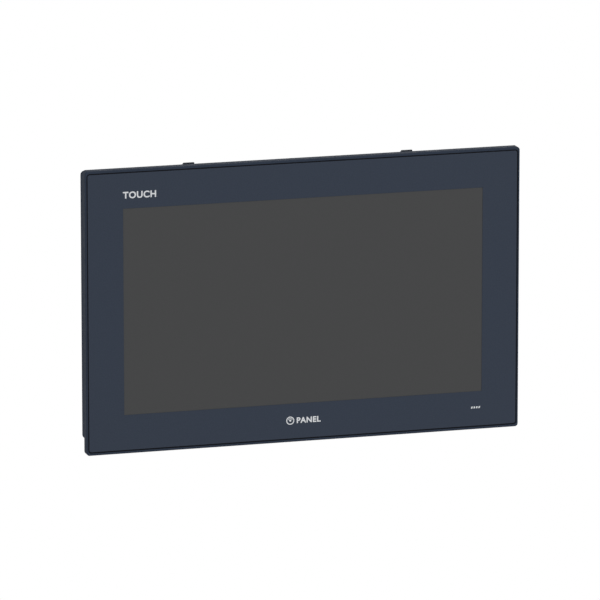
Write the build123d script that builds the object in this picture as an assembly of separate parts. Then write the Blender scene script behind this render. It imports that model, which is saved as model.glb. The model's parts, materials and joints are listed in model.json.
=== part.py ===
from build123d import *
import os

# Flush-mounted operator panel with a wide touch screen, in millimetres.
# X points right as the operator sees it, Y from the front to the back, Z up.
# The origin is the centre of the gasket's rear face, the face that meets the cabinet door.

os.makedirs("parts", exist_ok=True)

# ------------------------------------------------------------ driving dimensions

FRONT_WIDTH = 420.0
FRONT_HEIGHT = 269.0
FRONT_RADIUS = 3.0
FLANGE = 9.0
RIM_ROUNDING = 1.0

GLASS_WINDOW_WIDTH = 347.6
GLASS_WINDOW_HEIGHT = 195.6

FILM_WIDTH = 414.7
FILM_HEIGHT = 262.1
FILM_RADIUS = 2.0
FILM_GROOVE = 1.2
DECOR_FILM = 0.3
TOUCH_FILM = 0.2
FILM_RECESS = 0.3

GLASS_WIDTH = 404.0
GLASS_HEIGHT = 252.0
GLASS_THICKNESS = 1.8
GLASS_RADIUS = 1.0
TAPE_THICKNESS = 0.5
GLASS_GAP = 0.4

BEZEL_FLOOR = 2.0
BEZEL_OPENING_WIDTH = 351.0
BEZEL_OPENING_HEIGHT = 199.0
BEZEL_RECESS_WIDTH = 398.0
BEZEL_RECESS_HEIGHT = 247.0

HOUSING_WIDTH = 408.0
HOUSING_HEIGHT = 255.0
HOUSING_RADIUS = 4.0
HOUSING_DEPTH = 31.0
SHEET = 1.5
BEND_ROUNDING = 1.2

COVER_WIDTH = 300.0
COVER_HEIGHT = 190.0
COVER_RADIUS = 4.0
COVER_DEPTH = 21.0
COVER_BACK = HOUSING_DEPTH + COVER_DEPTH

GASKET_WIDTH = 4.0
GASKET_DEPTH = 1.5
GASKET_PROUD = 1.0
GASKET_EDGE = 1.0
GASKET_INNER_RADIUS = 2.0
GASKET_ROUNDING = 0.8

LCD_WIDTH = 363.8
LCD_HEIGHT = 215.9
LCD_SKIN = 0.5
LCD_GASKET = 0.8
SIGHT_WIDTH = 348.0
SIGHT_HEIGHT = 196.4

CATCH_X = 105.5
CATCH_WIDTH = 10.0
CATCH_PIVOT_Y = 24.0
CATCH_PIVOT_Z = 123.2
CATCH_TOP = 133.4
CATCH_FACE_Y = 9.0
CATCH_PIN_RADIUS = 1.25
CATCH_EYE_RADIUS = 2.6

VESA_HALF = 50.0
VESA_HOLE_RADIUS = 1.65
VESA_NUT_RADIUS = 4.0
VESA_NUT_LENGTH = 4.0

BOARD_THICKNESS = 1.6
BOARD_STANDOFF = 5.0
BOARD_FRONT = HOUSING_DEPTH + BOARD_STANDOFF
BOARD_BACK = BOARD_FRONT + BOARD_THICKNESS

M2 = 1.0
M3 = 1.5
BORE_CLEARANCE = 0.05
FIT_GAP = 0.3
SLIDE_GAP = 0.08
TOUCH = 0.02

# ------------------------------------------------------------ derived positions

FLANGE_BACK = -GASKET_PROUD
FRONT = FLANGE_BACK - FLANGE
FILM_LEDGE = FRONT + FILM_RECESS + DECOR_FILM + TOUCH_FILM
GLASS_BACK = FILM_LEDGE + GLASS_THICKNESS
FLOOR_FRONT = GLASS_BACK + TAPE_THICKNESS
FLOOR_BACK = FLOOR_FRONT + BEZEL_FLOOR
LCD_FRONT = FLOOR_BACK + LCD_GASKET
HOUSING_WALL = HOUSING_DEPTH - SHEET
HOUSING_TOP = HOUSING_HEIGHT / 2
HOUSING_CEILING = HOUSING_TOP - SHEET
COVER_WALL = COVER_BACK - SHEET
COVER_BOTTOM = -COVER_HEIGHT / 2
PORT_MOUTH = COVER_BOTTOM - 0.8

BACKWARD = Rot(-90, 0, 0)
FORWARD = Rot(90, 0, 0)
LEFTWARD = Rot(0, -90, 0)
RIGHTWARD = Rot(0, 90, 0)


# ------------------------------------------------------------ shape helpers

def block(x, y, z):
    """Box between two limits along each axis."""
    centre = Pos((x[0] + x[1]) / 2, (y[0] + y[1]) / 2, (z[0] + z[1]) / 2)
    return centre * Box(x[1] - x[0], y[1] - y[0], z[1] - z[0])


def slab(outline, y_front, y_back):
    """Outline drawn in X and Z, made solid between two depths."""
    return extrude(Plane.XZ.offset(-y_back) * outline, y_back - y_front)


def side_profile(points, x_left, x_right):
    """Outline given as (Y, Z) points, made solid between two X positions."""
    face = make_face(Polyline(*points, close=True))
    return extrude(Plane.YZ.offset(x_left) * face, x_right - x_left)


def rounded(width, height, radius, margin=0.0):
    """Rounded rectangle, grown by a margin all round."""
    return RectangleRounded(width + 2 * margin, height + 2 * margin, radius + margin)


def frame_slab(outer, inner, y_front, y_back):
    return slab(outer - inner, y_front, y_back)


def disc(x, z, radius, y_front, y_back):
    """Cylinder along Y."""
    return slab(Pos(x, z) * Circle(radius), y_front, y_back)


def rod(x, y, z, radius):
    """Cylinder along X between x[0] and x[1]."""
    return Pos((x[0] + x[1]) / 2, y, z) * RIGHTWARD * Cylinder(radius, x[1] - x[0])


def post(x, y, z, radius):
    """Cylinder along Z between z[0] and z[1]."""
    return Pos(x, y, (z[0] + z[1]) / 2) * Cylinder(radius, z[1] - z[0])


def edges_at(shape, axis, position):
    return shape.edges().filter_by_position(axis, position - 0.01, position + 0.01)


def fused(shapes):
    total = shapes[0]
    for shape in shapes[1:]:
        total = total + shape
    return total


def pan_screw(radius, length):
    """Cross-recessed pan-head screw: shank down from the origin, head above it."""
    head_height = 1.2 * radius
    head = Pos(0, 0, head_height / 2) * Cylinder(1.9 * radius, head_height)
    head = fillet(edges_at(head, Axis.Z, head_height), 0.6 * radius)
    shank = Pos(0, 0, -length / 2) * Cylinder(radius, length)
    arm = Box(2.0 * radius, 0.4 * radius, radius)
    recess = Pos(0, 0, head_height) * (arm + Rot(0, 0, 90) * arm)
    return head + shank - recess


def screws(radius, length, places, turn):
    """Separate identical screws at (x, y, z) places."""
    return [Pos(*place) * turn * pan_screw(radius, length) for place in places]


def save(name, shape):
    solids = shape if isinstance(shape, list) else [shape]
    part = Compound(label=name, children=solids) if len(solids) > 1 else solids[0]
    export_step(part, f"parts/{name}.step")


def mirrored_pairs(x, z):
    """The four corners of a rectangle centred on the origin."""
    return [(sx * x, sz * z) for sx in (-1, 1) for sz in (-1, 1)]


# ------------------------------------------------------------ front and bezel

HOUSING_SCREW_PLACES = mirrored_pairs(191.0, 116.5) + mirrored_pairs(60.0, 117.0)
LCD_POST_PLACES = mirrored_pairs(191.0, 60.0)
LCD_POST_BACK = 4.0
LCD_POST_RADIUS = 3.5
SCREW_POST_RADIUS = 4.0
SCREW_POST_BORE = 12.0


def make_front_bezel():
    """Die-cast frame: flange, rounded rim, film ledge, glass pocket, floor and screw posts."""
    body = slab(rounded(FRONT_WIDTH, FRONT_HEIGHT, FRONT_RADIUS), FRONT, FLANGE_BACK)
    body = fillet(edges_at(body, Axis.Y, FRONT), RIM_ROUNDING)
    film_pocket = rounded(FILM_WIDTH, FILM_HEIGHT, FILM_RADIUS, FILM_GROOVE)
    glass_pocket = rounded(GLASS_WIDTH, GLASS_HEIGHT, GLASS_RADIUS, GLASS_GAP)
    tail_slot_x = (TAIL_X - 1.0, TAIL_X + 1.0)
    tail_slot_z = (-TAIL_HALF - TAIL_MARGIN, TAIL_HALF + TAIL_MARGIN)
    opening = rounded(BEZEL_OPENING_WIDTH, BEZEL_OPENING_HEIGHT, FILM_RADIUS)
    recess = rounded(BEZEL_RECESS_WIDTH, BEZEL_RECESS_HEIGHT, FRONT_RADIUS)
    body -= slab(film_pocket, FRONT, FILM_LEDGE)
    body -= slab(glass_pocket, FILM_LEDGE, FLOOR_FRONT)
    body -= slab(opening, FLOOR_FRONT, FLOOR_BACK)
    body -= slab(recess, FLOOR_BACK, FLANGE_BACK)
    body -= gasket_ring(FLANGE_BACK)
    body -= block(tail_slot_x, (FLOOR_FRONT, FLOOR_BACK), tail_slot_z)
    for x, z in HOUSING_SCREW_PLACES:
        body += disc(x, z, SCREW_POST_RADIUS, FLOOR_BACK, HOUSING_WALL - TOUCH)
        body -= disc(x, z, M3 + BORE_CLEARANCE, HOUSING_WALL - SCREW_POST_BORE, HOUSING_WALL)
    for x, z in LCD_POST_PLACES:
        body += disc(x, z, LCD_POST_RADIUS, FLOOR_BACK, LCD_POST_BACK - TOUCH)
        body -= disc(x, z, M3 + BORE_CLEARANCE, FLOOR_BACK, LCD_POST_BACK)
    return body


def gasket_ring(y_back):
    """Ring that follows the flange's edge, from its groove's floor back to a depth."""
    outer = rounded(FRONT_WIDTH, FRONT_HEIGHT, FRONT_RADIUS, -GASKET_EDGE)
    inner_width = FRONT_WIDTH - 2 * (GASKET_EDGE + GASKET_WIDTH)
    inner_height = FRONT_HEIGHT - 2 * (GASKET_EDGE + GASKET_WIDTH)
    inner = rounded(inner_width, inner_height, GASKET_INNER_RADIUS)
    return frame_slab(outer, inner, FLANGE_BACK - GASKET_DEPTH, y_back)


def make_mounting_gasket():
    """Soft ring in the flange's groove; its rear face stands proud and meets the door."""
    ring = gasket_ring(0)
    return fillet(edges_at(ring, Axis.Y, 0), GASKET_ROUNDING)


def make_decor_film():
    """Printed border film with the display window cut out."""
    outer = rounded(FILM_WIDTH, FILM_HEIGHT, FILM_RADIUS)
    window = Rectangle(GLASS_WINDOW_WIDTH, GLASS_WINDOW_HEIGHT)
    return frame_slab(outer, window, FRONT + FILM_RECESS, FRONT + FILM_RECESS + DECOR_FILM)


def make_touch_film():
    """Clear front layer of the touch screen, under the printed border."""
    outer = rounded(FILM_WIDTH, FILM_HEIGHT, FILM_RADIUS)
    return slab(outer, FILM_LEDGE - TOUCH_FILM, FILM_LEDGE)


def make_touch_glass():
    glass = slab(rounded(GLASS_WIDTH, GLASS_HEIGHT, GLASS_RADIUS), FILM_LEDGE, GLASS_BACK)
    return chamfer(edges_at(glass, Axis.Y, GLASS_BACK), 0.3)


def make_touch_tape():
    """Adhesive ring behind the glass, with a notch where the flat lead passes."""
    outer = Rectangle(GLASS_WIDTH - 2.0, GLASS_HEIGHT - 2.0)
    inner = Rectangle(BEZEL_OPENING_WIDTH + 4.0, BEZEL_OPENING_HEIGHT + 4.0)
    ring = frame_slab(outer, inner, GLASS_BACK, FLOOR_FRONT)
    notch_z = (-TAIL_HALF - TAIL_MARGIN, TAIL_HALF + TAIL_MARGIN)
    return ring - block((TAIL_X - 2, GLASS_WIDTH / 2), (GLASS_BACK, FLOOR_FRONT), notch_z)


# ------------------------------------------------------------ touch electronics

TAIL_X = 187.5
TAIL_HALF = 10.0
TAIL_MARGIN = 1.0
TAIL_THICKNESS = 0.3
TOUCH_BOARD_FRONT = 11.5
TOUCH_BOARD = 1.2
SMALL_SCREW = 2.4
TOUCH_BOARD_X = (184.5, 198.5)
TOUCH_BOARD_Z = (-34.0, 34.0)
TOUCH_SCREW_PLACES = [(194.5, -29.0), (194.5, 29.0)]


def make_touch_tail():
    """Flat flex lead from the back of the glass, through the bezel's slot, to the controller."""
    lead_y = GLASS_BACK + TAPE_THICKNESS / 2
    route = FilletPolyline(
        (TAIL_X + 10, lead_y),
        (TAIL_X, lead_y),
        (TAIL_X, TOUCH_BOARD_FRONT - 2.5),
        radius=0.5,
    )
    lead = trace(route, TAIL_THICKNESS)
    return extrude(Plane.XY.offset(-TAIL_HALF) * lead, 2 * TAIL_HALF)


def make_touch_controller():
    """Small circuit board with its flex connector on the front and its chip on the back."""
    board_back = TOUCH_BOARD_FRONT + TOUCH_BOARD
    board = block(TOUCH_BOARD_X, (TOUCH_BOARD_FRONT, board_back), TOUCH_BOARD_Z)
    for x, z in TOUCH_SCREW_PLACES:
        board -= disc(x, z, M2 + BORE_CLEARANCE, TOUCH_BOARD_FRONT, board_back)
    connector_y = (TOUCH_BOARD_FRONT - 2.4, TOUCH_BOARD_FRONT)
    connector = block((TAIL_X - 2, TAIL_X + 2), connector_y, (-TAIL_HALF - 2, TAIL_HALF + 2))
    chip = block((186.5, 194.5), (board_back, board_back + 1.0), (-5.0, 3.0))
    plug = block((187.0, 191.0), (board_back, board_back + 3.0), (10.0, 20.0))
    return board + connector + chip + plug


# ------------------------------------------------------------ display module

CELL_WIDTH = 355.0
CELL_HEIGHT = 205.0
CELL = 1.2
FILMS = 0.5
GUIDE = 3.0
LAYER_GAP = 0.05
CELL_FRONT = LCD_FRONT + LCD_SKIN + LAYER_GAP
FILMS_FRONT = CELL_FRONT + CELL + LAYER_GAP
GUIDE_FRONT = FILMS_FRONT + FILMS + LAYER_GAP
TRAY_FRONT = GUIDE_FRONT + GUIDE + LAYER_GAP
TRAY_SHEET = 0.6
TRAY_BACK = TRAY_FRONT + TRAY_SHEET
DRIVER_Z = (-100.0, -76.0)
DRIVER_BOARD = 1.0
DRIVER_SOCKET = 1.4
BRACKET_SHEET = 1.2
BRACKET_OUTER_X = 197.0
LCD_SIDE_SCREW_Z = (-95.0, 95.0)
LCD_SIDE_SCREW_Y = (LCD_FRONT + TRAY_BACK) / 2


def drill_display_sides(shape):
    """Clears the four screw bores that run along X through the display's sides."""
    for z in LCD_SIDE_SCREW_Z:
        shape -= rod((-LCD_WIDTH, LCD_WIDTH), LCD_SIDE_SCREW_Y, z, M2 + BORE_CLEARANCE)
    return shape


def make_lcd_gasket():
    outer = rounded(360.0, 212.0, 2.0)
    inner = rounded(353.0, 203.0, 1.0)
    return frame_slab(outer, inner, FLOOR_BACK, LCD_FRONT)


def make_lcd_front_frame():
    """Pressed metal frame around the display's edge, with a skirt down its sides."""
    outer = rounded(LCD_WIDTH, LCD_HEIGHT, 1.5)
    sight = Rectangle(SIGHT_WIDTH, SIGHT_HEIGHT)
    hollow = rounded(LCD_WIDTH - 2 * LCD_SKIN, LCD_HEIGHT - 2 * LCD_SKIN, 1.0)
    shell = slab(outer, LCD_FRONT, TRAY_BACK)
    shell -= slab(sight, LCD_FRONT, LCD_FRONT + LCD_SKIN)
    shell -= slab(hollow, LCD_FRONT + LCD_SKIN, TRAY_BACK)
    return drill_display_sides(shell)


def make_lcd_cell():
    glass = slab(Rectangle(CELL_WIDTH, CELL_HEIGHT), CELL_FRONT, CELL_FRONT + CELL)
    return chamfer(glass.edges().filter_by(Axis.Y), 0.8)


def make_optical_films():
    return slab(rounded(353.0, 203.0, 1.0), FILMS_FRONT, FILMS_FRONT + FILMS)


def make_light_guide():
    """Acrylic plate with two locating ears on each side."""
    plate = block((-175.5, 175.5), (GUIDE_FRONT, GUIDE_FRONT + GUIDE), (-99.0, 101.0))
    for side in (-1, 1):
        for z in (-60.0, 60.0):
            ear = Pos(side * 175.5, z) * RectangleRounded(4.0, 8.0, 1.0)
            plate += slab(ear, GUIDE_FRONT, GUIDE_FRONT + GUIDE)
    return plate


def make_led_strip():
    """Narrow board below the light guide with a row of side-firing LEDs."""
    led_count = 36
    half_length = 172.0
    strip_z = (-103.2, -102.2)
    strip = block((-half_length, half_length), (GUIDE_FRONT, GUIDE_FRONT + GUIDE), strip_z)
    pitch = 2 * half_length / led_count
    leds = []
    for index in range(led_count):
        centre = -half_length + pitch * (index + 0.5)
        led_y = (GUIDE_FRONT + 0.7, GUIDE_FRONT + GUIDE - 0.7)
        leds.append(block((centre - 2.0, centre + 2.0), led_y, (strip_z[1], strip_z[1] + 1.2)))
    return fused([strip] + leds)


def make_lcd_back_tray():
    """Shallow metal tray that closes the display from behind, with stiffening ribs."""
    width = LCD_WIDTH - 2 * LCD_SKIN - 0.4
    height = LCD_HEIGHT - 2 * LCD_SKIN - 0.4
    tray = slab(rounded(width, height, 1.0), CELL_FRONT, TRAY_BACK)
    hollow = rounded(width - 2 * TRAY_SHEET, height - 2 * TRAY_SHEET, 0.6)
    tray -= slab(hollow, CELL_FRONT, TRAY_FRONT)
    tray = drill_display_sides(tray)
    for x in (-120.0, -40.0, 40.0, 120.0):
        rib = Pos(x, 15.0) * RectangleRounded(6.0, 130.0, 2.9)
        tray += slab(rib, TRAY_BACK, TRAY_BACK + 0.6)
    return tray


def make_lcd_driver_board():
    """Driver board along the display's lower edge, with its chips and the display socket."""
    board_back = TRAY_BACK + DRIVER_BOARD
    parts = [block((-125.0, 125.0), (TRAY_BACK, board_back), DRIVER_Z)]
    for x in (-100.0, -60.0, -20.0, 60.0, 100.0):
        parts.append(block((x - 5, x + 5), (board_back, board_back + 0.9), (-92.0, -84.0)))
    for low, high in (RIBBON_X, BACKLIGHT_X):
        socket_y = (board_back, board_back + DRIVER_SOCKET)
        parts.append(block((low - 1, high + 1), socket_y, (-98.0, -90.0)))
    return fused(parts)


def make_lcd_bracket(side):
    """Angle bracket along one side of the display; it carries the display on the bezel posts."""
    inner_x = LCD_WIDTH / 2 + TOUCH
    leg_x = inner_x + BRACKET_SHEET
    foot_y = (LCD_POST_BACK, LCD_POST_BACK + BRACKET_SHEET)
    leg = block((inner_x, leg_x), (LCD_FRONT + LCD_SKIN, foot_y[1]), (-101.0, 101.0))
    foot = block((inner_x, BRACKET_OUTER_X), foot_y, (-72.0, 72.0))
    bracket = drill_display_sides(leg + foot)
    for x, z in LCD_POST_PLACES:
        bracket -= disc(abs(x), z, M3 + BORE_CLEARANCE, *foot_y)
    if side > 0:
        slot_z = (-TAIL_HALF - TAIL_MARGIN, TAIL_HALF + TAIL_MARGIN)
        bracket -= block((TAIL_X - 1.5, TAIL_X + 1.5), foot_y, slot_z)
        for x, z in TOUCH_SCREW_PLACES:
            bracket += disc(x, z, 2.2, LCD_POST_BACK, TOUCH_BOARD_FRONT - TOUCH)
            bracket -= disc(x, z, M2 + BORE_CLEARANCE, LCD_POST_BACK, TOUCH_BOARD_FRONT)
        return bracket
    return mirror(bracket, Plane.YZ)


def make_lcd_screws():
    seat = LCD_POST_BACK + BRACKET_SHEET
    return screws(M3, 6.0, [(x, seat, z) for x, z in LCD_POST_PLACES], BACKWARD)


def make_small_screws():
    """M2 screws: two into each side of the display and two in the touch controller."""
    seat = LCD_WIDTH / 2 + TOUCH + BRACKET_SHEET
    left_places = [(-seat, LCD_SIDE_SCREW_Y, z) for z in LCD_SIDE_SCREW_Z]
    right_places = [(seat, LCD_SIDE_SCREW_Y, z) for z in LCD_SIDE_SCREW_Z]
    left = screws(M2, SMALL_SCREW, left_places, LEFTWARD)
    right = screws(M2, SMALL_SCREW, right_places, RIGHTWARD)
    board_back = TOUCH_BOARD_FRONT + TOUCH_BOARD
    board = screws(M2, SMALL_SCREW, [(x, board_back, z) for x, z in TOUCH_SCREW_PLACES], BACKWARD)
    return left + right + board


# ------------------------------------------------------------ housing

CLAMP_SLOT_LENGTH = 14.0
CLAMP_SLOT_WIDTH = 3.5
CLAMP_SLOT_Y = 18.0
TOP_CLAMP_X = (-165.0, 0.0, 165.0)
BOTTOM_CLAMP_X = (-165.0, -60.0, 60.0, 165.0)
SIDE_CLAMP_Z = (-70.0, 70.0)
COVER_EAR_PLACES = mirrored_pairs(156.0, 70.0)
CABLE_APERTURE_X = (2.0, 44.0)
CABLE_APERTURE_Z = (-66.0, -54.0)
CATCH_WINDOW_Y = (5.6, 25.0)
CATCH_WINDOW_HALF = 5.6
GROUND_PLACE = (176.0, -104.0)


def make_rear_housing():
    """Folded sheet-metal case with clamp slots, catch windows and the electronics' mounting wall."""
    outer = rounded(HOUSING_WIDTH, HOUSING_HEIGHT, HOUSING_RADIUS)
    inner = rounded(HOUSING_WIDTH - 2 * SHEET, HOUSING_HEIGHT - 2 * SHEET, HOUSING_RADIUS - SHEET)
    body = slab(outer, FLANGE_BACK, HOUSING_DEPTH)
    body = fillet(edges_at(body, Axis.Y, HOUSING_DEPTH), BEND_ROUNDING)
    body -= slab(inner, FLANGE_BACK, HOUSING_WALL)
    slot_y = (CLAMP_SLOT_Y - CLAMP_SLOT_WIDTH / 2, CLAMP_SLOT_Y + CLAMP_SLOT_WIDTH / 2)
    half = CLAMP_SLOT_LENGTH / 2
    for x in TOP_CLAMP_X:
        body -= block((x - half, x + half), slot_y, (HOUSING_CEILING - 1, HOUSING_TOP + 1))
    for x in BOTTOM_CLAMP_X:
        body -= block((x - half, x + half), slot_y, (-HOUSING_TOP - 1, -HOUSING_CEILING + 1))
    for z in SIDE_CLAMP_Z:
        for side in (-1, 1):
            wall_x = side * (HOUSING_WIDTH / 2 - SHEET / 2)
            body -= block((wall_x - SHEET, wall_x + SHEET), slot_y, (z - half, z + half))
    for side in (-1, 1):
        centre = side * CATCH_X
        window_x = (centre - CATCH_WINDOW_HALF, centre + CATCH_WINDOW_HALF)
        body -= block(window_x, CATCH_WINDOW_Y, (HOUSING_CEILING - 1, HOUSING_TOP + 1))
    wall = (HOUSING_WALL, HOUSING_DEPTH)
    body -= block(CABLE_APERTURE_X, wall, CABLE_APERTURE_Z)
    for x, z in HOUSING_SCREW_PLACES:
        body -= disc(x, z, M3 + BORE_CLEARANCE, *wall)
    for x, z in BOARD_POINTS + COVER_EAR_PLACES + IO_SCREW_PLACES + [GROUND_PLACE]:
        body -= disc(x, z, M3 + BORE_CLEARANCE, *wall)
    return body


def make_housing_screws():
    return screws(M3, 10.0, [(x, HOUSING_DEPTH, z) for x, z in HOUSING_SCREW_PLACES], BACKWARD)


def make_ground_screw():
    """Earthing screw with a washer on the housing's back and a nut inside."""
    x, z = GROUND_PLACE
    washer = 1.0
    screw = Pos(x, HOUSING_DEPTH + washer, z) * BACKWARD * pan_screw(M3, 7.0)
    plate = disc(x, z, 4.5, HOUSING_DEPTH, HOUSING_DEPTH + washer)
    nut = slab(Pos(x, z) * RegularPolygon(3.2, 6), HOUSING_WALL - 2.4, HOUSING_WALL)
    return screw + plate + nut


# ------------------------------------------------------------ catches

EAR_INNER = 5.3
EAR_SHEET = 1.2
EAR_TAB = 8.0
SPRING_RADIUS = 2.4
SPRING_WIRE = 0.35
SPRING_Y = 15.0
SPRING_BASE_Z = 112.0
CATCH_BASE_Z = 120.6


def make_catch(side):
    """Sprung hook that springs out above the housing and holds the panel in its cut-out."""
    centre = side * CATCH_X
    half = CATCH_WIDTH / 2
    ceiling = HOUSING_CEILING - 0.1
    profile = [
        (3.2, ceiling),
        (CATCH_FACE_Y, ceiling),
        (CATCH_FACE_Y, CATCH_TOP),
        (CATCH_FACE_Y + 2.5, CATCH_TOP),
        (CATCH_PIVOT_Y + 0.5, 125.6),
        (CATCH_PIVOT_Y, CATCH_BASE_Z),
        (5.2, CATCH_BASE_Z),
        (3.2, CATCH_BASE_Z + 2.0),
    ]
    span = (centre - half, centre + half)
    arm = side_profile(profile, *span)
    eye = rod(span, CATCH_PIVOT_Y, CATCH_PIVOT_Z, CATCH_EYE_RADIUS)
    bore = rod(span, CATCH_PIVOT_Y, CATCH_PIVOT_Z, CATCH_PIN_RADIUS + BORE_CLEARANCE)
    return arm + eye - bore


def make_catch_pins():
    reach = EAR_INNER + EAR_SHEET + 0.5
    pins = []
    for side in (-1, 1):
        centre = side * CATCH_X
        pin = rod((centre - reach, centre + reach), CATCH_PIVOT_Y, CATCH_PIVOT_Z, CATCH_PIN_RADIUS)
        pins.append(chamfer(pin.edges().filter_by(GeomType.CIRCLE), 0.2))
    return pins


def make_catch_brackets():
    """Bent brackets spot-welded under the housing's top wall; each holds a catch pin and a spring."""
    brackets = []
    ear_y = (10.0, 28.6)
    top = HOUSING_CEILING - TOUCH
    outer = EAR_INNER + EAR_SHEET
    for side in (-1, 1):
        centre = side * CATCH_X
        base_z = (SPRING_BASE_Z - EAR_SHEET, SPRING_BASE_Z)
        pieces = [block((centre - outer, centre + outer), ear_y, base_z)]
        for hand in (-1, 1):
            near = centre + hand * EAR_INNER
            far = centre + hand * outer
            tab = centre + hand * (outer + EAR_TAB)
            pieces.append(block(sorted((near, far)), ear_y, (base_z[0], top)))
            pieces.append(block(sorted((near, tab)), ear_y, (top - EAR_SHEET, top)))
        bore_x = (centre - outer - 1.0, centre + outer + 1.0)
        bore = rod(bore_x, CATCH_PIVOT_Y, CATCH_PIVOT_Z, CATCH_PIN_RADIUS + TOUCH)
        brackets.append(fused(pieces) - bore)
    return brackets


def make_catch_spring(side):
    """Compression spring between the bracket's base and the catch's underside."""
    low = SPRING_BASE_Z + SPRING_WIRE + TOUCH
    high = CATCH_BASE_Z - SPRING_WIRE - 0.1
    turns = 5
    height = high - low
    path = Helix(height / turns, height, SPRING_RADIUS)
    section = Plane(origin=path @ 0, z_dir=path % 0) * Circle(SPRING_WIRE)
    coil = sweep(section, path=path, is_frenet=True)
    return Pos(side * CATCH_X, SPRING_Y, low) * coil


# ------------------------------------------------------------ electronics

HEAT_SINK_X = (-145.0, -63.0)
HEAT_SINK_Z = (-62.0, 80.0)
CPU_X = -104.0
CPU_Z = 0.0
PAD_TOP = BOARD_BACK + 3.6
BOARD_POINTS = [(x, z) for x in (-132.0, -8.0, 132.0) for z in (-66.0, 50.0)]
HEAT_SINK_LEGS = [(CPU_X + dx, CPU_Z + dz) for dx in (-30.0, 30.0) for dz in (-32.0, 32.0)]
BOARD_X = (-140.0, 140.0)
BOARD_Z = (-92.0, 58.0)
ROCKER_X = -122.0
RIBBON_X = (10.0, 30.0)
BACKLIGHT_X = (36.0, 41.0)
RIBBON_Z = -60.0


def make_mainboard():
    """Main circuit board with a notch for the power switch and a few tall components."""
    board = block(BOARD_X, (BOARD_FRONT, BOARD_BACK), BOARD_Z)
    board -= block((BOARD_X[0], ROCKER_X + 13), (BOARD_FRONT, BOARD_BACK), (BOARD_Z[0], -74.0))
    for x, z in BOARD_POINTS:
        board -= disc(x, z, M3 + BORE_CLEARANCE, BOARD_FRONT, BOARD_BACK)
    for x, z in HEAT_SINK_LEGS:
        board -= disc(x, z, M3 + BORE_CLEARANCE, BOARD_FRONT, BOARD_BACK)
    pieces = [board]
    for x in (70.0, 80.0, 90.0, 100.0):
        pieces.append(disc(x, -50.0, 3.2, BOARD_BACK, BOARD_BACK + 7.0))
    for x, z in ((-50.0, 20.0), (-50.0, -20.0), (100.0, -20.0), (70.0, 0.0)):
        pieces.append(block((x - 6, x + 6), (BOARD_BACK, BOARD_BACK + 1.2), (z - 6, z + 6)))
    for x, width in ((sum(RIBBON_X) / 2, 24.0), (sum(BACKLIGHT_X) / 2, 7.0)):
        header_x = (x - width / 2 + 1, x + width / 2 - 1)
        pieces.append(block(header_x, (BOARD_FRONT - 2.5, BOARD_FRONT), (RIBBON_Z - 3, RIBBON_Z + 3)))
    return fused(pieces)


def make_board_standoffs():
    standoffs = []
    for x, z in BOARD_POINTS:
        standoff = slab(Pos(x, z) * RegularPolygon(3.0, 6), HOUSING_DEPTH, BOARD_FRONT)
        standoffs.append(standoff - disc(x, z, M3 + BORE_CLEARANCE, HOUSING_DEPTH, BOARD_FRONT))
    return standoffs


def make_board_screws():
    return screws(M3, 8.0, [(x, BOARD_BACK, z) for x, z in BOARD_POINTS], BACKWARD)


def make_cpu_package():
    substrate = block((CPU_X - 15, CPU_X + 15), (BOARD_BACK, BOARD_BACK + 1.6), (CPU_Z - 15, CPU_Z + 15))
    substrate = chamfer(substrate.edges().filter_by(Axis.Y), 1.0)
    die = block((CPU_X - 7, CPU_X + 7), (BOARD_BACK + 1.6, BOARD_BACK + 2.4), (CPU_Z - 6, CPU_Z + 6))
    return substrate + die


def make_thermal_pad():
    return block((CPU_X - 13, CPU_X + 13), (BOARD_BACK + 2.4, PAD_TOP), (CPU_Z - 13, CPU_Z + 13))


def make_heat_sink():
    """Extruded sink: base over the processor, vertical fins through the cover, four screw legs."""
    base_back = PAD_TOP + 4.0
    sink = block(HEAT_SINK_X, (PAD_TOP, base_back), HEAT_SINK_Z)
    fin_count = 17
    fin = 1.5
    inset = 4.0
    fin_z = (HEAT_SINK_Z[0] + inset, HEAT_SINK_Z[1] - inset)
    first = HEAT_SINK_X[0] + inset
    pitch = (HEAT_SINK_X[1] - inset - fin - first) / (fin_count - 1)
    fins = [
        block((first + index * pitch, first + index * pitch + fin), (base_back, COVER_BACK), fin_z)
        for index in range(fin_count)
    ]
    sink = fused([sink] + fins)
    for x, z in HEAT_SINK_LEGS:
        sink += disc(x, z, 3.0, BOARD_BACK, PAD_TOP)
        sink -= disc(x, z, M3 + BORE_CLEARANCE, BOARD_BACK, PAD_TOP + 2.0)
    return sink


def make_heat_sink_screws():
    return screws(M3, 6.0, [(x, BOARD_FRONT, z) for x, z in HEAT_SINK_LEGS], FORWARD)


MEMORY_X = 18.0
MEMORY_HALF = 33.8
STORAGE_X = (-48.0, 32.0)


def make_memory_socket():
    """Lying socket with two latch arms."""
    spine = block((MEMORY_X - 37, MEMORY_X + 37), (BOARD_BACK, BOARD_BACK + 5.2), (-3.0, 4.0))
    mouth_x = (MEMORY_X - MEMORY_HALF, MEMORY_X + MEMORY_HALF)
    spine -= block(mouth_x, (BOARD_BACK + 2.2, BOARD_BACK + 3.4), (1.0, 4.0))
    arms = []
    for hand in (-1, 1):
        centre = MEMORY_X + hand * 35.5
        arms.append(block((centre - 1, centre + 1), (BOARD_BACK, BOARD_BACK + 4.0), (4.0, 32.0)))
    return fused([spine] + arms)


def make_memory_module():
    board_y = (BOARD_BACK + 2.3, BOARD_BACK + 3.3)
    half = MEMORY_HALF - 0.1
    module = block((MEMORY_X - half, MEMORY_X + half), board_y, (1.2, 31.0))
    chips = []
    for index in range(4):
        x = MEMORY_X - 24 + 16 * index
        chips.append(block((x - 5, x + 5), (board_y[1], board_y[1] + 1.1), (12.0, 23.0)))
    return fused([module] + chips)


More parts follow.
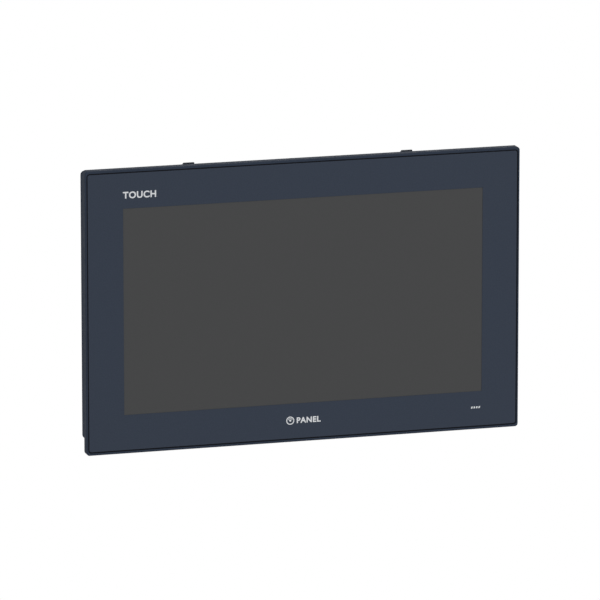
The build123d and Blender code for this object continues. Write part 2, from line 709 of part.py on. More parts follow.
def make_storage_socket():
    """Edge socket of the storage card, with the standoff at the card's far end."""
    socket = block((STORAGE_X[1], STORAGE_X[1] + 8), (BOARD_BACK, BOARD_BACK + 4.0), (-51.0, -29.0))
    socket -= block((STORAGE_X[1], STORAGE_X[1] + 4), (BOARD_BACK + 1.9, BOARD_BACK + 3.1), (-50.5, -29.5))
    standoff = disc(STORAGE_X[0] + 1.5, -40.0, 2.5, BOARD_BACK, BOARD_BACK + 2.0 - TOUCH)
    return [socket, standoff]


def make_storage_module():
    board_y = (BOARD_BACK + 2.0, BOARD_BACK + 2.8)
    card = block((STORAGE_X[0], STORAGE_X[1] + 3.5), board_y, (-50.0, -30.0))
    chips = [
        block((x, x + 14), (board_y[1], board_y[1] + 1.4), (-48.0, -32.0))
        for x in (STORAGE_X[0] + 10, STORAGE_X[0] + 30, STORAGE_X[0] + 52)
    ]
    return fused([card] + chips)


BATTERY_X = 85.0
BATTERY_Z = 35.0
COIN_RADIUS = 10.0
COIN = 3.2


def make_battery_holder():
    holder = disc(BATTERY_X, BATTERY_Z, COIN_RADIUS + 1.8, BOARD_BACK, BOARD_BACK + 3.4)
    holder -= disc(BATTERY_X, BATTERY_Z, COIN_RADIUS + 0.2, BOARD_BACK + 0.8, BOARD_BACK + 3.4)
    mouth = (BATTERY_Z - 5, BATTERY_Z + 5)
    return holder - block((BATTERY_X, BATTERY_X + 14), (BOARD_BACK + 0.8, BOARD_BACK + 3.4), mouth)


def make_backup_battery():
    coin_back = BOARD_BACK + 0.8 + COIN
    coin = disc(BATTERY_X, BATTERY_Z, COIN_RADIUS, BOARD_BACK + 0.8, coin_back)
    return fillet(edges_at(coin, Axis.Y, coin_back), 0.5)


def make_display_lead(x, thickness):
    """Lead from the display's driver board through the housing wall to the mainboard's header."""
    start_y = TRAY_BACK + 2.4
    route = FilletPolyline(
        (start_y, -94.0),
        (14.0, -94.0),
        (21.0, RIBBON_Z),
        (BOARD_FRONT - 2.5, RIBBON_Z),
        radius=3.0,
    )
    return extrude(Plane.YZ.offset(x[0]) * trace(route, thickness), x[1] - x[0])


def make_display_cables():
    """Flat picture lead and thicker backlight lead."""
    return [make_display_lead(RIBBON_X, 0.8), make_display_lead(BACKLIGHT_X, 1.4)]


# ------------------------------------------------------------ rear cover and connections

IO_X = (-142.0, 142.0)
IO_Y = (HOUSING_DEPTH, COVER_WALL - 0.1)
IO_EDGE_HEIGHT = 11.0
COVER_EAR = (16.0, 12.0)
IO_SCREW_PLACES = [(-64.0, -88.0), (26.0, -88.0), (118.0, -88.0)]
LAN_X = (-66.0, -46.0)
USB_X = (-27.0, -9.0)
DISPLAY_PORT_X = 11.0
COM_X = (42.0, 80.0)
RESET_X = 106.0
DC_X = -92.0
COVER_OPENING_INSET = 2.0
DOOR_HALF = 18.0
DOOR_Y = (35.5, 48.5)
HINGE_X = COVER_WIDTH / 2 + 2.2
HINGE_Y = 34.2
KNUCKLE = 1.8
DOOR_PIN = 0.8
DOOR_GAP = 0.35
VENT_PITCH = 6.5
VENT_WIDTH = 2.6
TOP_VENTS = 40
TOP_VENT_Y = (36.0, 47.0)
BACK_VENTS = 9
BACK_VENT_X = (72.0, 138.0)
BACK_VENT_LOW = 26.0


def make_rear_cover():
    """Cover over the electronics: bottom left open for the connector plate."""
    outer = rounded(COVER_WIDTH, COVER_HEIGHT, COVER_RADIUS)
    inner = rounded(COVER_WIDTH - 2 * SHEET, COVER_HEIGHT - 2 * SHEET, COVER_RADIUS - SHEET)
    body = slab(outer, HOUSING_DEPTH, COVER_BACK)
    body = fillet(edges_at(body, Axis.Y, COVER_BACK), BEND_ROUNDING)
    body -= slab(inner, HOUSING_DEPTH, COVER_WALL)
    io_opening_x = (IO_X[0] - 0.2, IO_X[1] + 0.2)
    body -= block(io_opening_x, (HOUSING_DEPTH, COVER_WALL), (COVER_BOTTOM - 1, COVER_BOTTOM + 3))
    for x, z in COVER_EAR_PLACES:
        ear = Pos(x, z) * RectangleRounded(*COVER_EAR, 3.0)
        side = 1 if x > 0 else -1
        ear_body = slab(ear, HOUSING_DEPTH, HOUSING_DEPTH + SHEET)
        wall_x = side * (COVER_WIDTH / 2 - SHEET)
        inside_x = sorted((wall_x, wall_x - side * COVER_EAR[0] / 2))
        inside_z = (z - COVER_EAR[1], z + COVER_EAR[1])
        ear_body -= block(inside_x, (HOUSING_DEPTH, COVER_BACK), inside_z)
        body += ear_body
        body -= disc(x, z, M3 + BORE_CLEARANCE, HOUSING_DEPTH, HOUSING_DEPTH + SHEET)
    sink_x = (HEAT_SINK_X[0] + COVER_OPENING_INSET, HEAT_SINK_X[1] - COVER_OPENING_INSET)
    sink_z = (HEAT_SINK_Z[0] + COVER_OPENING_INSET, HEAT_SINK_Z[1] - COVER_OPENING_INSET)
    body -= block(sink_x, (COVER_WALL, COVER_BACK), sink_z)
    for x, z in mirrored_pairs(VESA_HALF, VESA_HALF):
        body += disc(x, z, VESA_NUT_RADIUS, COVER_WALL - VESA_NUT_LENGTH, COVER_WALL)
        body -= disc(x, z, VESA_HOLE_RADIUS, COVER_WALL - VESA_NUT_LENGTH, COVER_BACK)
    body -= block((COVER_WIDTH / 2 - 3, COVER_WIDTH / 2 + 1), DOOR_Y, (-DOOR_HALF, DOOR_HALF))
    return body + cover_knuckle() - cover_vents()


def cover_vents():
    """Ventilation slots through the cover's top and the right of its back."""
    slots = []
    half = VENT_WIDTH / 2
    top_wall_z = (COVER_HEIGHT / 2 - 2, COVER_HEIGHT / 2 + 1)
    for index in range(TOP_VENTS):
        x = (index - (TOP_VENTS - 1) / 2) * VENT_PITCH
        slots.append(block((x - half, x + half), TOP_VENT_Y, top_wall_z))
    for index in range(BACK_VENTS):
        z = BACK_VENT_LOW + VENT_PITCH * index
        slots.append(block(BACK_VENT_X, (COVER_WALL, COVER_BACK), (z - half, z + half)))
    return slots


def cover_knuckle():
    """Fixed middle knuckle of the card door's hinge."""
    reach = 5.6
    eye = post(HINGE_X, HINGE_Y, (-reach, reach), KNUCKLE)
    web = block((COVER_WIDTH / 2 - 0.5, HINGE_X), (HINGE_Y - KNUCKLE, HINGE_Y), (-reach, reach))
    return eye + web - post(HINGE_X, HINGE_Y, (-reach, reach), DOOR_PIN + TOUCH)


def make_cover_screws():
    """Screws of the cover's ears and of the connector plate's upturned edge."""
    places = [(x, HOUSING_DEPTH + SHEET, z) for x, z in COVER_EAR_PLACES + IO_SCREW_PLACES]
    return screws(M3, 5.0, places, BACKWARD)


def make_io_plate():
    """Bent plate that closes the cover's underside around the connectors."""
    low = COVER_BOTTOM
    high = COVER_BOTTOM + SHEET
    plate = block(IO_X, IO_Y, (low, high))
    plate += block(IO_X, (HOUSING_DEPTH, HOUSING_DEPTH + SHEET), (low, low + IO_EDGE_HEIGHT))
    for x, z in IO_SCREW_PLACES:
        plate -= disc(x, z, M3 + BORE_CLEARANCE, HOUSING_DEPTH, HOUSING_DEPTH + SHEET)
    cut_outs = [
        (ROCKER_X - 9.8, ROCKER_X + 9.8, 34.6, 47.4),
        (DC_X - 11.5, DC_X + 11.5, BOARD_BACK - 0.3, BOARD_BACK + 11.9),
        (DISPLAY_PORT_X - 8.6, DISPLAY_PORT_X + 8.6, BOARD_BACK - 0.3, BOARD_BACK + 5.9),
    ]
    cut_outs += [(x - 8.3, x + 8.3, BOARD_BACK - 0.3, BOARD_BACK + 11.8) for x in LAN_X]
    cut_outs += [(x - 7.5, x + 7.5, BOARD_BACK - 0.3, BOARD_BACK + 7.1) for x in USB_X]
    cut_outs += [(x - 9.0, x + 9.0, COM_Y - 4.9, COM_Y + 4.9) for x in COM_X]
    for x0, x1, y0, y1 in cut_outs:
        plate -= block((x0, x1), (y0, y1), (low - 1, high + 1))
    for x in COM_X:
        for hand in (-1, 1):
            plate -= post(x + hand * JACK_HALF, COM_Y, (low - 1, high + 1), M3 + BORE_CLEARANCE)
    return plate - post(RESET_X, RESET_Y, (low - 1, high + 1), RESET_RADIUS + SLIDE_GAP)


def make_lan_ports():
    """Two network sockets, open downwards, with the latch notch at the back."""
    ports = []
    mouth = PORT_MOUTH
    for x in LAN_X:
        shell = block((x - 8, x + 8), (BOARD_BACK, BOARD_BACK + 11.5), (mouth, mouth + 21))
        shell -= block((x - 5.9, x + 5.9), (BOARD_BACK + 1.2, BOARD_BACK + 8.0), (mouth, mouth + 13))
        shell -= block((x - 3.1, x + 3.1), (BOARD_BACK + 8.0, BOARD_BACK + 10.3), (mouth, mouth + 13))
        ports.append(shell)
    return ports


def make_usb_ports():
    """Two flat serial-bus sockets with their tongues."""
    ports = []
    mouth = PORT_MOUTH
    for x in USB_X:
        shell = block((x - 7.2, x + 7.2), (BOARD_BACK, BOARD_BACK + 6.8), (mouth, mouth + 17))
        shell -= block((x - 6.3, x + 6.3), (BOARD_BACK + 0.8, BOARD_BACK + 6.0), (mouth, mouth + 12))
        tongue = block((x - 5.4, x + 5.4), (BOARD_BACK + 3.6, BOARD_BACK + 5.4), (mouth + 2.5, mouth + 12))
        ports.append(shell + tongue)
    return ports


def make_display_port():
    """Video socket with one chamfered corner and a central tongue."""
    mouth = PORT_MOUTH
    x = DISPLAY_PORT_X
    y = BOARD_BACK
    shell = block((x - 8.2, x + 8.2), (y, y + 5.6), (mouth, mouth + 15))
    outline = [
        (x - 7.6, y + 0.6),
        (x + 7.6, y + 0.6),
        (x + 7.6, y + 5.0),
        (x - 5.6, y + 5.0),
        (x - 7.6, y + 3.0),
    ]
    cavity = make_face(Polyline(*outline, close=True))
    shell -= extrude(Plane.XY.offset(mouth) * cavity, 10)
    return shell + block((x - 5.5, x + 5.5), (y + 2.2, y + 3.2), (mouth + 1.5, mouth + 10))


COM_Y = BOARD_BACK + 6.25
JACK_HALF = 12.5
COM_PIN_PITCH = 2.77


def d_outline(x, grow):
    """Rounded D shape of the serial connector, in X and Y."""
    wide = 8.2 + grow
    narrow = 7.2 + grow
    half = 3.9 + grow
    corners = [
        (x - narrow, COM_Y - half),
        (x + narrow, COM_Y - half),
        (x + wide, COM_Y + half),
        (x - wide, COM_Y + half),
    ]
    face = make_face(Polyline(*corners, close=True))
    return fillet(face.vertices(), 1.6)


def make_com_ports():
    """Two nine-pin serial plugs: body on the board, D-shaped shell through the plate, pins inside."""
    ports = []
    shell_low = COVER_BOTTOM - 5.8
    face = COVER_BOTTOM + SHEET + 0.1
    for x in COM_X:
        flange = block((x - 15.4, x + 15.4), (COM_Y - 6.2, COM_Y + 6.2), (face, face + 0.8))
        body = block((x - 9.5, x + 9.5), (BOARD_BACK, COM_Y + 5.4), (face + 0.8, face + 11.0))
        shell = extrude(Plane.XY.offset(shell_low) * d_outline(x, 0), face - shell_low)
        hollow = extrude(Plane.XY.offset(shell_low) * d_outline(x, -0.5), 5.6)
        port = flange + body + shell - hollow
        for row, count in ((-1, 4), (1, 5)):
            for index in range(count):
                pin_x = x + (index - (count - 1) / 2) * COM_PIN_PITCH
                pin_y = COM_Y + row * 1.42
                port += post(pin_x, pin_y, (shell_low + 0.6, shell_low + 5.7), 0.5)
        for hand in (-1, 1):
            port -= post(x + hand * JACK_HALF, COM_Y, (face - 1, face + 2), M3 + BORE_CLEARANCE)
        ports.append(port)
    return ports


def make_jack_screws():
    """Hexagonal lock posts beside each serial plug."""
    posts = []
    for x in COM_X:
        for hand in (-1, 1):
            place = x + hand * JACK_HALF
            hexagon = Pos(place, COM_Y) * RegularPolygon(2.7, 6)
            body = extrude(Plane.XY.offset(COVER_BOTTOM - 5.0) * hexagon, 5.0)
            body -= post(place, COM_Y, (COVER_BOTTOM - 5.0, COVER_BOTTOM - 0.5), 1.2)
            posts.append(body + post(place, COM_Y, (COVER_BOTTOM, COVER_BOTTOM + 4.0), M3))
    return posts


DC_HALF = 11.2
DC_WALL = 1.0
DC_BACK = BOARD_BACK + 11.6
DC_MOUTH = PORT_MOUTH
DC_FLOOR = DC_MOUTH + 9.5
PLUG_DROP = 10.0
PLUG_HALF = DC_HALF - DC_WALL - FIT_GAP
PLUG_Y = (BOARD_BACK + DC_WALL + FIT_GAP, DC_BACK - DC_WALL - FIT_GAP)
PLUG_TOP = DC_FLOOR - 0.4
PLUG_LOW = DC_MOUTH - PLUG_DROP
TERMINAL_PITCH = 6.2
PLUG_MID_Y = (PLUG_Y[0] + PLUG_Y[1]) / 2


def terminal_places():
    return [DC_X + offset * TERMINAL_PITCH for offset in (-1, 0, 1)]


def make_dc_socket():
    """Power header on the mainboard, open downwards, with three contact pins."""
    body = block((DC_X - DC_HALF, DC_X + DC_HALF), (BOARD_BACK, DC_BACK), (DC_MOUTH, DC_FLOOR + 3.0))
    hollow_x = (DC_X - DC_HALF + DC_WALL, DC_X + DC_HALF - DC_WALL)
    body -= block(hollow_x, (BOARD_BACK + DC_WALL, DC_BACK - DC_WALL), (DC_MOUTH, DC_FLOOR))
    for x in terminal_places():
        body += block((x - 0.5, x + 0.5), (PLUG_MID_Y - 0.5, PLUG_MID_Y + 0.5), (DC_FLOOR - 7.0, DC_FLOOR))
    return body


def make_dc_plug():
    """Pull-off power plug: contact holes above, wire funnels below, screw wells at the back."""
    body = block((DC_X - PLUG_HALF, DC_X + PLUG_HALF), PLUG_Y, (PLUG_LOW, PLUG_TOP))
    body = chamfer(edges_at(body, Axis.Z, PLUG_LOW), 0.8)
    for x in terminal_places():
        body -= block((x - 0.9, x + 0.9), (PLUG_MID_Y - 0.9, PLUG_MID_Y + 0.9), (PLUG_TOP - 7.2, PLUG_TOP))
        body -= post(x, PLUG_MID_Y - 0.6, (PLUG_LOW, PLUG_LOW + 5.0), 1.9)
        body -= disc(x, PLUG_LOW + 7.5, 1.9, PLUG_Y[1] - 2.6, PLUG_Y[1])
    return body


def make_dc_plug_screws():
    """Clamping screws of the plug, sunk in their wells, with straight slots."""
    heads = []
    seat = PLUG_Y[1] - 2.6
    for x in terminal_places():
        head = disc(x, PLUG_LOW + 7.5, 1.8, seat, seat + 1.6)
        slot_z = PLUG_LOW + 7.5
        heads.append(head - block((x - 2, x + 2), (seat + 0.9, seat + 1.6), (slot_z - 0.3, slot_z + 0.3)))
    return heads


ROCKER_Y = 41.0
ROCKER_PIVOT_Z = COVER_BOTTOM + 1.0
ROCKER_FACE_Z = COVER_BOTTOM - 2.0
ROCKER_HALF = 7.6
ROCKER_TILT = 8.0
ROCKER_PIN = 1.2
ROCKER_OPENING = 8.4
ROCKER_DEPTH_HALF = 4.6
ROCKER_WELL_HALF = 4.95


def make_rocker_housing():
    """Switch body that snaps into the plate, open downwards around the rocker."""
    flange_x = (ROCKER_X - 11.0, ROCKER_X + 11.0)
    flange = block(flange_x, (ROCKER_Y - 7.6, ROCKER_Y + 7.6), (ROCKER_FACE_Z, COVER_BOTTOM))
    flange = chamfer(edges_at(flange, Axis.Z, ROCKER_FACE_Z), 0.5)
    body_y = (ROCKER_Y - 6.2, ROCKER_Y + 6.2)
    body_top = COVER_BOTTOM + 13.0
    body = block((ROCKER_X - 9.6, ROCKER_X + 9.6), body_y, (COVER_BOTTOM, body_top))
    well_x = (ROCKER_X - ROCKER_OPENING, ROCKER_X + ROCKER_OPENING)
    well_y = (ROCKER_Y - ROCKER_WELL_HALF, ROCKER_Y + ROCKER_WELL_HALF)
    shell = flange + body - block(well_x, well_y, (ROCKER_FACE_Z, COVER_BOTTOM + 8))
    bore = Pos(ROCKER_X, ROCKER_Y, ROCKER_PIVOT_Z) * FORWARD * Cylinder(ROCKER_PIN + BORE_CLEARANCE, 11.4)
    blades = []
    for x in (ROCKER_X - 5.0, ROCKER_X + 5.0):
        blade_y = (ROCKER_Y - 0.4, ROCKER_Y + 0.4)
        blades.append(block((x - 2.4, x + 2.4), blade_y, (body_top, body_top + 6.0)))
    return fused([shell - bore] + blades)


def make_power_rocker():
    """Rocker paddle on its pivot pins, stored with its right end pressed in."""
    outline = [
        (-ROCKER_HALF, 1.0),
        (-ROCKER_HALF, -3.9),
        (0.0, -2.9),
        (ROCKER_HALF, -3.9),
        (ROCKER_HALF, 1.0),
        (2.5, 3.0),
        (-2.5, 3.0),
    ]
    face = make_face(Polyline(*outline, close=True))
    paddle = extrude(Plane.XZ.offset(-ROCKER_DEPTH_HALF) * face, 2 * ROCKER_DEPTH_HALF)
    paddle += FORWARD * Cylinder(ROCKER_PIN, 11.2)
    return Pos(ROCKER_X, ROCKER_Y, ROCKER_PIVOT_Z) * Rot(0, -ROCKER_TILT, 0) * paddle


RESET_Y = BOARD_BACK + 3.6
RESET_RADIUS = 1.9
RESET_STEM = 1.0


def make_reset_button():
    """Push-pin in the plate: cap outside, retaining collar inside, stem into the switch."""
    low = COVER_BOTTOM - 1.0
    inside = COVER_BOTTOM + SHEET
    cap = post(RESET_X, RESET_Y, (low, inside + 0.1), RESET_RADIUS)
    cap = fillet(edges_at(cap, Axis.Z, low), 0.4)
    collar = post(RESET_X, RESET_Y, (inside + 0.1, inside + 1.0), 2.9)
    return cap + collar + post(RESET_X, RESET_Y, (inside + 1.0, inside + 6.4), RESET_STEM)


def make_reset_switch():
    """Push switch on the mainboard's edge that takes the button's stem."""
    low = COVER_BOTTOM + SHEET + 4.0
    body = block((RESET_X - 3.2, RESET_X + 3.2), (BOARD_BACK, BOARD_BACK + 6.4), (low, low + 6.0))
    return body - post(RESET_X, RESET_Y, (low, low + 4.0), RESET_STEM + SLIDE_GAP)


def make_card_door():
    """Small door over the memory-card slot, hinged on its front edge."""
    wall_x = (COVER_WIDTH / 2 - SHEET, COVER_WIDTH / 2)
    plate_y = (DOOR_Y[0] + DOOR_GAP, DOOR_Y[1] - DOOR_GAP)
    plate = block(wall_x, plate_y, (-DOOR_HALF + DOOR_GAP, DOOR_HALF - DOOR_GAP))
    plate = fillet(plate.edges().filter_by(Axis.X), 0.6)
    grip = block((wall_x[1], wall_x[1] + 1.0), (plate_y[1] - 2.5, plate_y[1] - 1.2), (-7.0, 7.0))
    door = plate + grip
    for hand in (-1, 1):
        span = sorted((hand * 6.0, hand * 14.0))
        arm = block((wall_x[1] + 0.4, HINGE_X), (HINGE_Y, plate_y[0] + 2.0), span)
        foot = block((wall_x[1] - 0.2, wall_x[1] + 0.6), (plate_y[0], plate_y[0] + 2.0), span)
        door += arm + foot + post(HINGE_X, HINGE_Y, span, KNUCKLE)
    return door - post(HINGE_X, HINGE_Y, (-DOOR_HALF, DOOR_HALF), DOOR_PIN + BORE_CLEARANCE)


def make_card_door_pin():
    pin = post(HINGE_X, HINGE_Y, (-14.6, 14.6), DOOR_PIN)
    return chamfer(pin.edges().filter_by(GeomType.CIRCLE), 0.15)


def make_card_slot():
    """Memory-card socket that opens towards the door."""
    shell = block((114.0, 146.0), (BOARD_BACK, BOARD_BACK + 3.8), (-14.5, 14.5))
    return shell - block((120.0, 146.0), (BOARD_BACK + 0.8, BOARD_BACK + 3.2), (-12.2, 12.2))


def make_board_sockets():
    """Sockets soldered to the mainboard for the memory, the storage card and the memory card."""
    return [make_memory_socket(), make_card_slot()] + make_storage_socket()


def make_rating_plate():
    """Blank identification plate on the cover's back."""
    outline = Pos(104.0, -20.0) * RectangleRounded(66.0, 44.0, 2.0)
    return slab(outline, COVER_BACK, COVER_BACK + 0.3)


# ------------------------------------------------------------ export

NODES = {
    "front_bezel": make_front_bezel,
    "mounting_gasket": make_mounting_gasket,
    "decor_film": make_decor_film,
    "touch_film": make_touch_film,
    "touch_glass": make_touch_glass,
    "touch_tape": make_touch_tape,
    "touch_tail": make_touch_tail,
    "touch_controller": make_touch_controller,
    "lcd_gasket": make_lcd_gasket,
    "lcd_front_frame": make_lcd_front_frame,
    "lcd_cell": make_lcd_cell,
    "optical_films": make_optical_films,
    "light_guide": make_light_guide,
    "led_strip": make_led_strip,
    "lcd_back_tray": make_lcd_back_tray,
    "lcd_driver_board": make_lcd_driver_board,
    "lcd_screws": make_lcd_screws,
    "small_screws": make_small_screws,
    "rear_housing": make_rear_housing,
    "housing_screws": make_housing_screws,
    "ground_screw": make_ground_screw,
    "catch_pins": make_catch_pins,
    "catch_brackets": make_catch_brackets,
    "mainboard": make_mainboard,
    "board_standoffs": make_board_standoffs,
    "board_screws": make_board_screws,
    "cpu_package": make_cpu_package,
    "thermal_pad": make_thermal_pad,
    "heat_sink": make_heat_sink,
    "heat_sink_screws": make_heat_sink_screws,
    "display_cables": make_display_cables,
    "board_sockets": make_board_sockets,
    "memory_module": make_memory_module,
    "storage_module": make_storage_module,
    "battery_holder": make_battery_holder,
    "backup_battery": make_backup_battery,
    "rear_cover": make_rear_cover,
    "cover_screws": make_cover_screws,
    "io_plate": make_io_plate,
    "lan_ports": make_lan_ports,
    "usb_ports": make_usb_ports,
    "display_port": make_display_port,
    "com_ports": make_com_ports,
    "jack_screws": make_jack_screws,
    "dc_socket": make_dc_socket,
    "dc_plug": make_dc_plug,
    "dc_plug_screws": make_dc_plug_screws,
    "rocker_housing": make_rocker_housing,
    "power_rocker": make_power_rocker,
    "reset_button": make_reset_button,
    "reset_switch": make_reset_switch,
    "card_door": make_card_door,
    "card_door_pin": make_card_door_pin,
    "rating_plate": make_rating_plate,
}

for node, make in NODES.items():
    save(node, make())

for hand_name, hand in (("left", -1), ("right", 1)):
    save(f"lcd_bracket_{hand_name}", make_lcd_bracket(hand))
    save(f"catch_{hand_name}", make_catch(hand))
    save(f"catch_spring_{hand_name}", make_catch_spring(hand))
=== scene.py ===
import json
import math

import bmesh
import bpy
from mathutils import Matrix, Vector


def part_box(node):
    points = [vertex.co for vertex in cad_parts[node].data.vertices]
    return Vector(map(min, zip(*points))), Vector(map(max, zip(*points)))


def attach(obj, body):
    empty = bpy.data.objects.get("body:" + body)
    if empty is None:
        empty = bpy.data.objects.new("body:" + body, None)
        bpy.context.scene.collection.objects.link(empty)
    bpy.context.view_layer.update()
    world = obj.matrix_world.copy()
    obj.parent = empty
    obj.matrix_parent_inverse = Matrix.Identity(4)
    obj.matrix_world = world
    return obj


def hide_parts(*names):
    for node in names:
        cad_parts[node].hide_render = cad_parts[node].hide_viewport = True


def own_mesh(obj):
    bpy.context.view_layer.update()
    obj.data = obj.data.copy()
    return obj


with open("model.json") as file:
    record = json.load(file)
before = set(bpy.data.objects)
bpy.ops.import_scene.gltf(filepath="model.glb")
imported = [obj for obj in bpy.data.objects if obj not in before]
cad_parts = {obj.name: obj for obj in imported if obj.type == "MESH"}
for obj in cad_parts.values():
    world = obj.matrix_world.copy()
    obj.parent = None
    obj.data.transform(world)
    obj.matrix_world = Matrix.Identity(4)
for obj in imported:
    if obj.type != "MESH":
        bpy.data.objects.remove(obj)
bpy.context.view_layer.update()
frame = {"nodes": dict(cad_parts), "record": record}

# Flush-mounted touch panel: materials on the CAD pieces, printed marks, a seal whose near-black colour
# also paints the groove's shade, connector details and coil springs. Metres, in the CAD frame: X right,
# Y from the front to the back, Z up.

MM = 0.001
ROOT = "panel"

FILM_LOW, FILM_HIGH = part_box("decor_film")
FILM_FACE = FILM_LOW.y
# Middle of the printed film's front face, which the camera and the lights aim at.
FRONT_CENTRE = Vector(((FILM_LOW.x + FILM_HIGH.x) / 2, FILM_FACE, (FILM_LOW.z + FILM_HIGH.z) / 2))

# ------------------------------------------------------------ camera and light

CAMERA_AZIMUTH = math.radians(-16.2)
CAMERA_ELEVATION = math.radians(12.7)
CAMERA_DISTANCE = 6.238
CAMERA_SIDE_STEP = -3.98 * MM
CAMERA_LIFT = 0.78 * MM
CAMERA_REACH = 80.0
LENS_MM = 402.0
SENSOR_MM = 36.0

SKY_SEEN = (1.0, 1.0, 1.0, 1.0)
SKY_SEEN_STRENGTH = 1.0
SKY_LIGHT = (0.96, 0.98, 1.0, 1.0)
SKY_LIGHT_STRENGTH = 0.52
# Name, place, side of the square and watts of each light.
AREA_LIGHTS = (
    ("key_light", (1.9, -3.7, 2.4), 2.6, 62.0),
    ("fill_light", (0.4, -4.4, -1.2), 2.4, 6.0),
    ("back_light", (1.8, 4.4, -0.8), 2.4, 95.0),
)


def make_camera():
    back = Vector((
        math.sin(CAMERA_AZIMUTH) * math.cos(CAMERA_ELEVATION),
        -math.cos(CAMERA_AZIMUTH) * math.cos(CAMERA_ELEVATION),
        math.sin(CAMERA_ELEVATION),
    ))
    right = Vector((math.cos(CAMERA_AZIMUTH), math.sin(CAMERA_AZIMUTH), 0.0))
    up = back.cross(right)
    place = FRONT_CENTRE + back * CAMERA_DISTANCE + right * CAMERA_SIDE_STEP + up * CAMERA_LIFT
    data = bpy.data.cameras.new("camera")
    data.lens = LENS_MM
    data.sensor_width = SENSOR_MM
    data.clip_end = CAMERA_REACH
    camera = bpy.data.objects.new("camera", data)
    turn = Matrix((right, up, back)).transposed().to_4x4()
    camera.matrix_world = Matrix.Translation(place) @ turn
    bpy.context.scene.collection.objects.link(camera)
    bpy.context.scene.camera = camera


def make_area_light(name, place, size, power):
    """Square soft light that faces the panel."""
    data = bpy.data.lights.new(name, "AREA")
    data.size = size
    data.energy = power
    light = bpy.data.objects.new(name, data)
    aim = (Vector(place) - FRONT_CENTRE).to_track_quat("Z", "Y")
    light.matrix_world = Matrix.Translation(Vector(place)) @ aim.to_matrix().to_4x4()
    bpy.context.scene.collection.objects.link(light)


def make_world():
    """White studio surroundings: full white to the camera, softer as light on the object."""
    world = bpy.data.worlds.new("studio")
    world.use_nodes = True
    tree = world.node_tree
    tree.nodes.clear()

    def background(colour, strength):
        node = tree.nodes.new("ShaderNodeBackground")
        node.inputs["Color"].default_value = colour
        node.inputs["Strength"].default_value = strength
        return node.outputs["Background"]

    seen = background(SKY_SEEN, SKY_SEEN_STRENGTH)
    lit = background(SKY_LIGHT, SKY_LIGHT_STRENGTH)
    path = tree.nodes.new("ShaderNodeLightPath")
    mix = tree.nodes.new("ShaderNodeMixShader")
    output = tree.nodes.new("ShaderNodeOutputWorld")
    tree.links.new(path.outputs["Is Camera Ray"], mix.inputs["Fac"])
    tree.links.new(lit, mix.inputs[1])
    tree.links.new(seen, mix.inputs[2])
    tree.links.new(mix.outputs["Shader"], output.inputs["Surface"])
    bpy.context.scene.world = world


def make_lights():
    make_world()
    for light in AREA_LIGHTS:
        make_area_light(*light)
    bpy.context.scene.view_settings.view_transform = "Standard"
    bpy.context.scene.view_settings.look = "None"


# ------------------------------------------------------------ material building blocks

